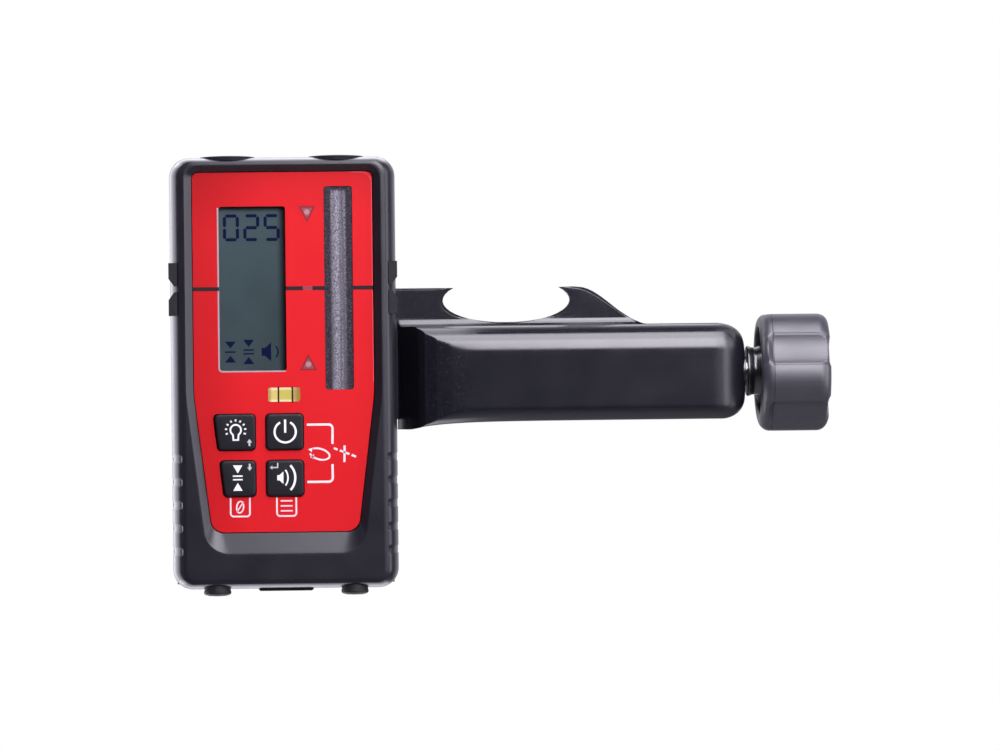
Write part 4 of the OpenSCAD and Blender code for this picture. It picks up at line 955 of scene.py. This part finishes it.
def knob_skin(s):
    """Knob as a profile turned about the spindle, whose grip a is crowned by c (t / 17 degrees)^2 at an angle
    t from a lobe's middle, and lies at the least of itself and its valleys b. At an angle d from a valley's
    middle the valley lies at m cos d - sqrt(v^2 - (m sin d)^2), where v is its radius and m the distance of
    its axis, and it grows shallower from the seam to the open end. The least is softened by
    sqrt((a - b)^2 + e^2), and a line g exp(-((a - b) / w)^2) is cut where a lobe meets a valley. The closed
    end is drawn in where the valleys are deep."""
    edge, valley, deep, seam = in_mm(s, "edge", "valley_radius", "valley", "seam")
    seam += KNOB_RIM
    x, r = knob_profile(edge, seam).T[..., None]
    turn, pitch = np.radians(np.arange(720) * 0.5), 2 * np.pi / s.lobes
    phase = turn + np.radians(12.8)
    away, crest = phase % pitch - pitch / 2, (phase + pitch / 2) % pitch - pitch / 2
    far = GRIP - deep + valley
    inside = valley**2 - (far * np.sin(away)) ** 2
    wall = np.where(inside > 0, far * np.cos(away) - np.sqrt(np.maximum(inside, 0)), GRIP + 3)
    sunk = np.maximum(GRIP - wall, 0)
    wall = wall + 0.7 * np.clip((seam - 0.3 - x) / 1.6, 0, 1) * sunk
    crown = 0.65 * np.minimum((crest / np.radians(17)) ** 2, 1.5)
    grip = r - crown * np.clip((r - CUP - 1) / 4.5, 0, 1)
    soft = 0.5 * (grip + wall - np.sqrt((grip - wall) ** 2 + 0.1**2)) + 0.01
    soft = soft - 0.2 * np.exp(-(((grip - wall) / 0.22) ** 2)) * (r > GRIP - 1)
    seamed = SEAM_CUT * (np.abs(x - seam) < 0.1) * (wall < grip)
    radial = np.where(r > CUP + 1.0, np.minimum(r, soft) - seamed, r)
    drawn = 0.3 * np.clip((x - KNOB_END + edge) / edge, 0, 1) * (r > 17.0)
    middle = KNOB[:, 1:].mean(0)
    rings = [x - drawn * sunk, middle[0] - radial * np.cos(turn), middle[1] + radial * np.sin(turn)]
    return loft(np.stack(rings, -1))


def spindle_skin():
    """Threaded spindle: radius r - d (0.5 - 0.9 cos(2 pi x / pitch + 2 turn)), cut to flats, which makes two
    left-hand starts. Its thread ends where the plain shank starts."""
    low, high = box("spindle")
    pitch, starts, deep, thread, chamfer, tip = 2.0, 2, 0.55, 86.0, 0.6, 0.02
    radius, middle = (high[2] - low[2]) / 2, (low[1:] + high[1:]) / 2
    x = np.concatenate([[low[0]], np.linspace(low[0] + tip, high[0] - tip, 520), [high[0]]])[:, None]
    turn = np.linspace(0, 2 * np.pi, 48, endpoint=False)
    cut = np.clip(0.5 - 0.9 * np.cos(2 * np.pi * x / pitch + starts * turn), 0, 1) * deep
    reach = radius - cut * (1 - np.clip((x - (low[0] + thread)) / 1.5, 0, 1))
    reach[[0, -1]] -= chamfer
    rings = [x + 0 * turn, middle[0] + reach * np.cos(turn), middle[1] + reach * np.sin(turn)]
    return loft(np.stack(rings, -1))


def ribbed_pad(node, side):
    """A jaw pad: a sheet whose face carries upright ribs, closed by its back and edges. The face lies
    h (1 - 0.9 |sin(pi y / pitch)|^0.6) deep, at least 0.02, and deeper along its upper and lower edge."""
    low, high = box(node)
    rib, pitch = 0.45, 2.5
    face, back = (high[0], low[0]) if side > 0 else (low[0], high[0])
    y = np.linspace(low[1], high[1], 181)[:, None]
    z = np.array([low[2], low[2] + 0.4, low[2] + 0.8, high[2] - 0.8, high[2] - 0.4, high[2]])
    edge = np.array([0.42, 0.12, 0.0, 0.0, 0.12, 0.42])
    depth = rib - 0.9 * rib * np.abs(np.sin(np.pi * (y - low[1]) / pitch)) ** 0.6 + edge
    depth = np.maximum(depth, 0.02)
    front = np.stack([face - side * depth, y + 0 * z, z + 0 * y], -1)
    rear = front.copy()
    rear[..., 0] = back
    return loft(np.concatenate([front, rear[:, ::-1]], 1))


def notch():
    """Reading notch from its right pointer to its left one: a hook, which is nearly a quarter of a circle
    whose top lies on the reading edge, then the lower half of a wide ellipse, then the other hook."""
    hook = 4.7
    right = arc((NOTCH_HALF - hook, NOTCH_Z), (hook, hook), 80, 2, 16)
    a = np.radians(np.linspace(0, 180, 60))
    bowl = np.stack([NOTCH_HALF * np.cos(a), NOTCH_Z - NOTCH_DEEP * np.sin(a) ** 0.92], 1)
    return np.concatenate([right, bowl, right[::-1] * (-1, 1)])


def fin_height(s, top):
    """Height of the fin at a share s of its run: a smooth step up from the arm's top, and a straight rise."""
    return ARM_TOP * (1 - s) ** 2 * (1 + 2 * s) + top * s


def plate_outline():
    """Reading plate, anticlockwise from its lower left: foot, start of the right side, fin, notch between two
    pointers, straight reading edge and left side."""
    steps, sole, side, left = 14, 90, 30, 60
    low, high = ARM_LOW + 1, EDGE_Z
    frame_line = rounded([(ARM[0, 0], low), (FIN_X, low), (FIN_X, high), (ARM[0, 0], high)], (12, 2, 2, 12),
                         (sole, side, side, left), steps)
    foot, last = frame_line[:2 * steps + sole + side // 3], frame_line[-steps - left:]
    s = np.linspace(0, 1, 40)[:, None]
    fin = np.concatenate([FIN_X - FIN_RUN * s, fin_height(s, EDGE_Z)], 1)
    line = notch()
    s = np.linspace(0, 1, 14)[1:-1, None] ** 0.6
    point = fin[-1] + (line[0] - fin[-1]) * s
    s = np.linspace(0, 1, 90)[:-1, None] ** 2
    straight = line[-1] + (last[0] - line[-1]) * s
    return np.concatenate([foot, fin, point, line[:-1], straight, last])


def plate_skin():
    """Reading plate: its outline drawn in along its normals over a rounded front edge, and less near the
    pointers, so that they stay keen. It is pierced by the jaw's slot."""
    line = plate_outline()
    line = line[np.linalg.norm(line - np.roll(line, 1, 0), axis=1) > 1e-4]
    step = unit(np.roll(line, -1, 0) - line)
    along = step + np.roll(step, 1, 0)
    along /= np.maximum(np.linalg.norm(along, axis=1, keepdims=True), 1e-6)
    inward = np.stack([-along[:, 1], along[:, 0]], 1)
    tips = np.array([(18.9, 0.1), (-18.9, 0.1)])
    near = np.linalg.norm(line[:, None] - tips[None], axis=2).min(1)
    amount = np.clip(0.015 + 0.026 * near**2, 0.015, 0.7)[:, None]
    shares = (1.0, 0.62, 0.3, 0.09, 0.0, 0.0, 0.3, 0.7)
    depths = (-4.03, -3.97, -3.8, -3.5, -3.15, -0.5, -0.3, -0.2)
    clear = 0.01
    outlines = [line + inward * (amount * share + clear) for share in shares]
    left, right, low, high = SLOT
    return pierced(rows(outlines, depths), np.array([(left, low), (left, high), (right, high), (right, low)]))


def arm_section(upper, lower, hollow):
    """Depths and heights of the arm's section: foot wall, lower arc, front, upper arc, top wall, and a hollow
    arc up to the plate."""
    low, top = np.radians(np.linspace(0, 90, 25)), np.radians(np.linspace(0, 90, 41))
    neck = PLATE_FRONT - hollow
    y = [np.linspace(-0.2, ARM_FRONT + lower, 14)[:-1], ARM_FRONT + lower - lower * np.sin(low),
         np.full(14, ARM_FRONT), ARM_FRONT + upper - upper * np.cos(top),
         np.linspace(ARM_FRONT + upper, neck, 9)[1:-1], neck + hollow * np.sin(low)]
    z = [np.full(13, ARM_LOW), ARM_LOW + lower - lower * np.cos(low),
         np.linspace(ARM_LOW + lower, ARM_TOP - upper, 16)[1:-1], ARM_TOP - upper + upper * np.sin(top),
         np.full(7, ARM_TOP), ARM_TOP + hollow - hollow * np.cos(low)]
    return np.concatenate(y), np.concatenate(z)


def arm_skin():
    """Arm as a grid over its length and its section. Past the fin its hollow flattens, under the notch its
    top stays below the bowl, and near the housing its foot falls. The front is held back by the ramp through
    a soft greatest value 0.5 (a + b + sqrt((a - b)^2 + e^2)). The end is drawn in by a quarter of an ellipse,
    and closes towards the middle of its rear edge."""
    hollow, nose, end, back = 3.0, 8.8, ARM[1, 0], -0.2
    x = np.concatenate([np.linspace(-39.0, -14.0, 101), np.linspace(-13.0, 44.0, 58),
                        np.linspace(44.5, 52.0, 26), np.linspace(53.0, end - nose - 0.4, 24),
                        end - nose + nose * np.sin(np.radians(np.linspace(0, 90, 25)))])[:, None]
    y, z = (part + 0 * x for part in arm_section(9.3, 5.2, hollow))
    tail = np.concatenate([np.zeros(y.shape[1] - 25), np.linspace(0, 1, 25)])
    free = np.clip((x - 46.0) / 5.0, 0, 1)
    free = free**2 * (3 - 2 * free)
    flat = PLATE_FRONT - hollow + tail * (hollow + 3.8)
    y = np.where(tail > 0, y * (1 - free) + flat * free, y)
    z = np.where(tail > 0, z * (1 - free) + ARM_TOP * free, z)

    bowl = NOTCH_Z - NOTCH_DEEP * np.maximum(1 - (x / NOTCH_HALF) ** 2, 0) ** 0.46
    bowl = np.where(np.abs(x) < NOTCH_HALF, bowl, 9.0)
    fin = fin_height(np.clip((FIN_X - x) / FIN_RUN, 0, 1), 0.0)
    z = np.minimum(z, np.maximum(np.minimum(bowl, fin), ARM_TOP))
    shoulder = ARM_TOP - 12
    fall = 2.0 * np.exp(-np.maximum(x + 32.0, -3) / 11.0)
    z = z - fall * np.clip((shoulder - z) / (shoulder - ARM_LOW), 0, 1)

    ramp_x = [-38.8, -35.5, -33.4, -31.8, -29.5, -25.5, -20.5, -16.7, -14.0, -8.0, 0.0]
    ramp_y = [-3.9, -10.5, -15.2, -18.4, -21.2, -22.9, -23.7, -24.0, -24.3, -26.0, -54.0]
    ramp = np.interp(x, ramp_x, ramp_y)
    y = 0.5 * (y + ramp + np.sqrt((y - ramp) ** 2 + 0.25**2))

    short = 1 - np.sqrt(np.maximum(1 - (np.maximum(x - (end - nose), 0) / nose) ** 2, 0))
    middle, half = (ARM_LOW + ARM_TOP) / 2, (ARM_TOP - ARM_LOW) / 2
    y = y * (1 + nose * short / ARM_FRONT)
    z = middle + (z - middle) * (1 - 7.7 * short / half)
    grid = np.stack([x + 0 * y, y, z], -1)
    rear = np.array([end, back, middle])
    close = [rear + (grid[-1] - rear) * share for share in (0.8, 0.5, 0.2, 0.02)]
    return sheet(np.concatenate([grid, np.stack(close)]))


def clamp_rear():
    """The clamp's solid without the outer front of its arm, as points and triangles: a triangle goes where it
    lies before the plate and outside the arm's hollow."""
    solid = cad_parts["clamp_body"].data
    solid.calc_loop_triangles()
    points = np.empty(len(solid.vertices) * 3)
    solid.vertices.foreach_get("co", points)
    points = points.reshape(-1, 3) / MM
    corners = np.empty(len(solid.loop_triangles) * 3, np.int32)
    solid.loop_triangles.foreach_get("vertices", corners)
    corners = corners.reshape(-1, 3)
    low, high = np.array([-11.3, -21.7, -44.2]), np.array([80.3, 9.0, ARM_TOP - 2.2])
    inside = ((points > low) & (points < high)).all(1)
    before = points[corners][..., 1].mean(1) < PLATE_FRONT - 0.02
    keep = ~before | inside[corners].all(1)
    return points, [corners[keep]]


KEPT = {
    "rear_shell": "rear", "housing_gasket": "rubber", "faceplate": "plate", "lcd_window": "pane",
    "lcd_module": "display", "receiving_window": "window", "diffuser_strip": "guide",
    "photodiode_board": "board", "main_board": "board", "photodiodes": "chip", "indicator_lenses": "lens",
    "indicator_leds": "lamp",
    "vial_block": "vial", "vial_liquid": "liquid", "vial_bubble": "bubble", "key_switches": "switch",
    "buzzer": "chip", "index_pads": "rubber",
    "battery_door": "door", "door_hinge_pin": "steel", "battery_latch": "latch", "battery_cells": "cell",
    "battery_contacts": "contact", "housing_screws": "dark_steel", "mount_insert": "brass",
    "sliding_jaw": "jaw", "spindle_bush": "dark_steel", "thrust_washer": "steel",
    "retaining_clip": "dark_steel", "knob_pin": "steel", "clamp_screw": "knob",
}


def even_shading():
    """Node group that merges a node's loose triangles, shades them smooth and keeps steep edges sharp."""
    group = bpy.data.node_groups.new("even_shading", "GeometryNodeTree")
    group.interface.new_socket("Geometry", in_out="INPUT", socket_type="NodeSocketGeometry")
    group.interface.new_socket("Geometry", in_out="OUTPUT", socket_type="NodeSocketGeometry")
    made = {}
    for key, kind in (("in", "NodeGroupInput"), ("merge", "GeometryNodeMergeByDistance"),
                      ("smooth", "GeometryNodeSetShadeSmooth"), ("sharp", "GeometryNodeSetShadeSmooth"),
                      ("angle", "GeometryNodeInputMeshEdgeAngle"), ("past", "FunctionNodeCompare"),
                      ("out", "NodeGroupOutput")):
        made[key] = group.nodes.new(kind)
    made["merge"].inputs["Distance"].default_value = 2e-6
    made["sharp"].domain = "EDGE"
    made["sharp"].inputs["Shade Smooth"].default_value = False
    made["past"].inputs["B"].default_value = np.radians(CREASE)
    for a, out, b, into in (("in", 0, "merge", "Geometry"), ("merge", 0, "smooth", "Geometry"),
                            ("smooth", 0, "sharp", "Geometry"), ("angle", 0, "past", "A"),
                            ("past", 0, "sharp", "Selection"), ("sharp", 0, "out", 0)):
        group.links.new(made[a].outputs[out], made[b].inputs[into])
    return group


class RECEIVER_OT_front_shell(bpy.types.Operator):
    """Builds the front shell with its bevelled recess and grip grooves"""

    bl_idname = "receiver.front_shell"
    bl_label = "Front Shell"

    def execute(self, context):
        skin = in_receiver(shell_skin(context.scene.receiver_housing))
        put("shell_front", skin, ROOT, "housing", ("front_shell",))
        return {"FINISHED"}


class RECEIVER_OT_keys(bpy.types.Operator):
    """Builds the four rubber keys and the signs printed on them"""

    bl_idname = "receiver.keys"
    bl_label = "Keys"

    def execute(self, context):
        sizes = context.scene.receiver_keys
        housing = context.scene.receiver_housing
        slant = housing.taper / (-PLATE[0, 2] * MM - housing.shoulder)
        flange = np.array([0.8, 0.0, 0.8])
        for node in ("key_backlight", "key_power", "key_accuracy", "key_sound"):
            low, high = box(node)
            leaning = slant if node in ("key_backlight", "key_accuracy") else 0.0
            cap = key_skin(low + flange, high - flange, leaning, sizes)
            put(node + "_cap", cap, node, "key", (node,))
        top = box("key_power")[0, 1] - FRONT_Y
        front, back = top - sizes.ink / MM * 0.2, top + 0.16
        for node, signs in key_signs().items():
            put(node + "_sign", inked(signs, front, back), node, "ink")
        for node, signs in faint_signs().items():
            put(node + "_second_sign", inked(signs, front, back), node, "faint")
        return {"FINISHED"}


class RECEIVER_OT_plate_print(bpy.types.Operator):
    """Prints the signs, zero line, a painted rim highlight and lens rims on the faceplate, and two lines over
    the level vial
    """

    bl_idname = "receiver.plate_print"
    bl_label = "Plate Print"

    def execute(self, context):
        ink = context.scene.receiver_keys.ink / MM
        front, back = PLATE_Y - ink, PLATE_Y + 0.02
        put("plate_signs", inked(plate_signs(), front, back), ROOT, "plate_ink")
        left, right = DISPLAY[:2]
        runs = ((-PLATE_HALF, left), (right, 6.9), (10.3, WINDOW[0]), (WINDOW[1], PLATE_HALF))
        lines = [bar((a + b) / 2, 0, b - a, 1.35) for a, b in runs]
        put("zero_line", inked(lines, front, back), ROOT, "line")
        # The rim is a painted highlight: a paler red line along the plate's top and right edge.
        side, upper = PLATE_HALF - 0.18, 40.45
        rim = strip(bent([(24.0, upper), (side, upper), (side, -33.0)], 4.0), 0.16)
        put("plate_rim_highlight", inked([rim], front, back), ROOT, "rim")
        rims = [strip([(6.1, 28.4 * way), (11.1, 28.4 * way), (8.6, 23.5 * way)], 0.6, closed=True)
                for way in (1, -1)]
        put("lens_rims", inked(rims, front, back), ROOT, "tint")
        low, high = box("vial_block")
        middle, tall, top = (low[2] + high[2]) / 2, high[2] - low[2] - 0.8, low[1] - FRONT_Y
        lines = [bar(x, middle, 0.6, tall) for x in (-2.0, 2.87)]
        put("vial_lines", inked(lines, top - ink, top + 0.05), ROOT, "line")
        return {"FINISHED"}


class RECEIVER_OT_display(bpy.types.Operator):
    """Lays the display's segments on its ground, and a painted highlight: a pale line along the left and foot
    of its cut-out
    """

    bl_idname = "receiver.display"
    bl_label = "Display"

    def execute(self, context):
        ground = box("lcd_module")[0, 1] - FRONT_Y
        signs = inked(display_signs(), ground - 0.04, ground + 0.01)
        put("display_signs", signs, ROOT, "segment")
        # The edge is a painted highlight, a pale line where the cut-out's left and lower edge catch light.
        left, right, low, high = DISPLAY + (-0.25, -0.4, -0.2, -0.4)
        edge = strip(bent([(left, high), (left, low), (right, low)], 1.2), 0.55)
        put("display_edge_highlight", inked([edge], PLATE_Y - 0.03, PLATE_Y + 0.02), ROOT, "edge")
        return {"FINISHED"}


class RECEIVER_OT_ends(bpy.types.Operator):
    """Builds the domed magnets and feet, and the latch's lip below the front edge"""

    bl_idname = "receiver.ends"
    bl_label = "Magnets, Feet and Latch Lip"

    def execute(self, context):
        low, high = box("top_magnets")
        falls = ((9.6, 0.56), (9.45, 0.47), (8.6, 0.36), (7.0, 0.22), (4.0, 0.07), (0.01, 0.0))
        dome = [(9.6, low[2])] + [(radius, high[2] - fall) for radius, fall in falls]
        discs = in_receiver(turned(dome, (-19.0, 19.0), 10.2))
        put("magnet_discs", discs, ROOT, "magnet", ("top_magnets",))
        low, high = box("rubber_feet")
        rises = ((4.6, 2.2), (4.8, 1.5), (4.7, 0.9), (4.2, 0.5), (3.0, 0.16), (0.01, 0.0))
        dome = [(4.5, high[2])] + [(radius, low[2] + rise) for radius, rise in rises]
        discs = in_receiver(turned(dome, (-24.0, 24.0), 5.5))
        put("foot_discs", discs, ROOT, "rubber", ("rubber_feet",))
        half, front, back = 9.6, 5.5, 9.5
        corners = [(-half, front), (half, front), (half, back), (-half, back)]
        lip = rounded(corners, (0.5, 0.5, 0.5, 0.5), (10, 4, 10, 4), 6)
        rings = [np.stack([lip[:, 0] * width, lip[:, 1], np.full(len(lip), SHELL[0, 2] + z)], 1)
                 for z, width in ((0.4, 1.0), (-0.3, 1.0), (-0.72, 0.94))]
        put("latch_lip", in_receiver(loft(np.stack(rings))), ROOT, "latch")
        return {"FINISHED"}


class RECEIVER_OT_knob(bpy.types.Operator):
    """Builds the lobed knob and the threaded spindle"""

    bl_idname = "receiver.knob"
    bl_label = "Knob and Spindle"

    def execute(self, context):
        body = "knob_and_spindle"
        put("knob_grip", knob_skin(context.scene.receiver_knob), body, "knob", ("knob",))
        put("spindle_thread", spindle_skin(), body, "steel", ("spindle",), 50.0)
        return {"FINISHED"}


class RECEIVER_OT_clamp(bpy.types.Operator):
    """Builds the clamp: its reading plate with two pointers, its arm, and its rear with the fixed jaw"""

    bl_idname = "receiver.clamp"
    bl_label = "Clamp"

    def execute(self, context):
        rear = put("clamp_rear", clamp_rear(), ROOT, "clamp", ("clamp_body",), outward=False)
        flat = put("clamp_plate", plate_skin(), ROOT, "clamp", ("clamp_body",))
        for piece in (rear, flat):
            piece.modifiers.new("flat_faces", "WEIGHTED_NORMAL").keep_sharp = True
        arm = put("clamp_arm", arm_skin(), ROOT, "clamp", ("clamp_body",))
        thick = arm.modifiers.new("thickness", "SOLIDIFY")
        thick.thickness, thick.offset = 1.0 * MM, -1.0
        return {"FINISHED"}


class RECEIVER_OT_jaw_pads(bpy.types.Operator):
    """Builds the ribbed pads of both jaws"""

    bl_idname = "receiver.jaw_pads"
    bl_label = "Jaw Pads"

    def execute(self, context):
        for name, node, side, body in (("fixed_pad_ribbed", "fixed_jaw_pad", 1, ROOT),
                                       ("sliding_pad_ribbed", "sliding_jaw_pad", -1, "sliding_jaw")):
            put(name, ribbed_pad(node, side), body, "pad", (node,))
        return {"FINISHED"}


class RECEIVER_OT_kept_nodes(bpy.types.Operator):
    """Gives each solid that stays its finish and an even shading"""

    bl_idname = "receiver.kept_nodes"
    bl_label = "Kept Solids"

    def execute(self, context):
        group = even_shading()
        for node, look in KEPT.items():
            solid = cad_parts[node]
            solid.data.materials.clear()
            solid.data.materials.append(finish(look))
            solid.modifiers.new("even_shading", "NODES").node_group = group
            solid.modifiers.new("flat_faces", "WEIGHTED_NORMAL").keep_sharp = True
        return {"FINISHED"}


VIOLET, BLUE = (0.93, 0.905, 1.0), (0.62, 0.70, 1.0)
LIGHTS = (
    ("softbox_key", (0.210, -0.80, 0.470), (0.03, -0.02, -0.03), (0.50, 0.64), 10.6, VIOLET),
    ("softbox_over", (0.12, -0.36, 0.80), (0.03, -0.02, -0.03), (0.50, 0.56), 6.6, VIOLET),
    ("softbox_side", (0.49, -0.83, 0.0), (-0.03, -0.03, -0.03), (0.28, 0.40), 1.45, VIOLET),
    ("softbox_corner", (0.56, -0.56, 0.40), (-0.05, -0.03, -0.03), (0.50, 0.50), 1.2, VIOLET),
    ("softbox_right", (0.62, -0.22, 0.05), (-0.08, -0.02, -0.03), (0.36, 0.64), 2.5, VIOLET),
    ("softbox_left", (-0.75, -0.45, 0.0), (-0.03, -0.02, -0.03), (0.24, 0.60), 0.25, BLUE),
    ("softbox_back", (-0.05, 0.75, 0.50), (-0.03, 0.0, -0.03), (1.0, 0.30), 0.9, WHITE),
    ("card_left", (-0.160, 0.019, -0.03), (-0.118, 0.019, -0.03), (0.10, 0.27), 0.30, VIOLET),
    ("card_top", (-0.095, 0.020, 0.085), (-0.095, 0.020, 0.046), (0.17, 0.10), 0.155, VIOLET),
    ("card_foot", (-0.095, 0.020, -0.15), (-0.095, 0.020, -0.105), (0.17, 0.10), 0.16, VIOLET),
)


def softbox(name, place, aim, size, power, tint):
    """A rectangular studio light that faces a point, unseen by the camera."""
    data = bpy.data.lights.new(name, "AREA")
    data.shape = "RECTANGLE"
    data.size, data.size_y = size
    data.energy = power
    data.color = tint
    lamp = bpy.data.objects.new(name, data)
    lamp.location = place
    lamp.rotation_euler = (Vector(aim) - Vector(place)).to_track_quat("-Z", "Y").to_euler()
    lamp.visible_camera = False
    bpy.context.scene.collection.objects.link(lamp)


def lay_floor(scene):
    """A paper floor well below the object, near white where the camera sees it."""
    across, height = np.linspace(-3.0, 3.0, 7), -1.4
    x, y = np.meshgrid(across, across, indexing="ij")
    points, faces = sheet(np.stack([x, y, np.full_like(x, height)], -1))
    mesh = bpy.data.meshes.new("floor")
    mesh.from_pydata(points.tolist(), [], faces[0].tolist())
    f = Finish("floor_paper")
    seen = f.node("ShaderNodeLightPath", {}, {}, "Is Camera Ray")
    tone = f.mix(f.noise(6.0, 3.0), (0.78, 0.78, 0.79), (0.84, 0.84, 0.84))
    paper = f.node("ShaderNodeBsdfDiffuse", {}, {"Color": tone})
    lift = f.node("ShaderNodeEmission", {}, {"Color": opaque(WHITE), "Strength": seen * 0.92})
    both = f.node("ShaderNodeAddShader", {}, {0: paper, 1: lift})
    f.node("ShaderNodeOutputMaterial", {}, {"Surface": both})
    mesh.materials.append(f.owner)
    floor = bpy.data.objects.new("floor", mesh)
    scene.collection.objects.link(floor)


def surround(scene):
    """White surroundings for the camera, and for the object a dim room that is white behind it."""
    world = bpy.data.worlds.new("studio")
    scene.world = world
    f = Finish("studio", world)
    way = f.node("ShaderNodeSeparateXYZ", {}, {0: f.node("ShaderNodeTexCoord", {}, {}, "Generated")}, "Y")
    seen = f.node("ShaderNodeLightPath", {}, {}, "Is Camera Ray")
    level = f.step(way, 0.30, 0.85, 0.045, 1.0)
    strength = seen + (1 - seen) * level
    hue = f.mix(seen, (0.90, 0.90, 1.0), WHITE)
    back = f.node("ShaderNodeBackground", {}, {"Color": hue, "Strength": strength})
    f.node("ShaderNodeOutputWorld", {}, {"Surface": back})


def set_camera(scene):
    """A long lens before the receiver, aimed past it at the clamp and rolled a little."""
    data = bpy.data.cameras.new("camera")
    data.lens, data.sensor_width, data.clip_end = 190.8, 36.0, 20.0
    camera = bpy.data.objects.new("camera", data)
    place, aim = Vector((-0.0792, -1.886, -0.03110)), Vector((-0.0038, -0.036, -0.03110))
    turn = (aim - place).to_track_quat("-Z", "Y").to_matrix().to_4x4()
    turn = turn @ Matrix.Rotation(np.radians(-0.64), 4, "Z")
    camera.matrix_world = Matrix.Translation(place) @ turn
    scene.collection.objects.link(camera)
    scene.camera = camera


class RECEIVER_OT_stage(bpy.types.Operator):
    """Sets the floor, the white surroundings, the soft lights and the camera"""

    bl_idname = "receiver.stage"
    bl_label = "Stage"

    def execute(self, context):
        scene = context.scene
        scene.view_settings.view_transform = "Standard"
        lay_floor(scene)
        surround(scene)
        for light in LIGHTS:
            softbox(*light)
        set_camera(scene)
        return {"FINISHED"}


OPERATORS = (RECEIVER_OT_front_shell, RECEIVER_OT_keys, RECEIVER_OT_plate_print, RECEIVER_OT_display,
             RECEIVER_OT_ends, RECEIVER_OT_knob, RECEIVER_OT_clamp, RECEIVER_OT_jaw_pads,
             RECEIVER_OT_kept_nodes, RECEIVER_OT_stage)


class RECEIVER_PT_pieces(bpy.types.Panel):
    """Lists the pieces with their sizes and colours"""

    bl_idname = "RECEIVER_PT_pieces"
    bl_label = "Laser Receiver"
    bl_space_type = "VIEW_3D"
    bl_region_type = "UI"
    bl_category = "Receiver"

    def draw(self, context):
        for held, group in HELD.items():
            for name in group.__annotations__:
                self.layout.prop(getattr(context.scene, held), name)
        for operator in OPERATORS:
            self.layout.operator(operator.bl_idname)


HELD = {"receiver_housing": HousingSizes, "receiver_keys": KeySizes, "receiver_knob": KnobSizes,
        "receiver_colours": FinishColours}
CLASSES = (*HELD.values(), *OPERATORS, RECEIVER_PT_pieces)


def register():
    for each in CLASSES:
        bpy.utils.register_class(each)
    for name, group in HELD.items():
        setattr(bpy.types.Scene, name, PointerProperty(type=group))


def unregister():
    for name in HELD:
        delattr(bpy.types.Scene, name)
    for each in reversed(CLASSES):
        bpy.utils.unregister_class(each)


def main():
    """Registers the classes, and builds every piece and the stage."""
    register()
    for operator in OPERATORS:
        group, name = operator.bl_idname.split(".")
        getattr(getattr(bpy.ops, group), name)()


if __name__ == "__main__":
    main()
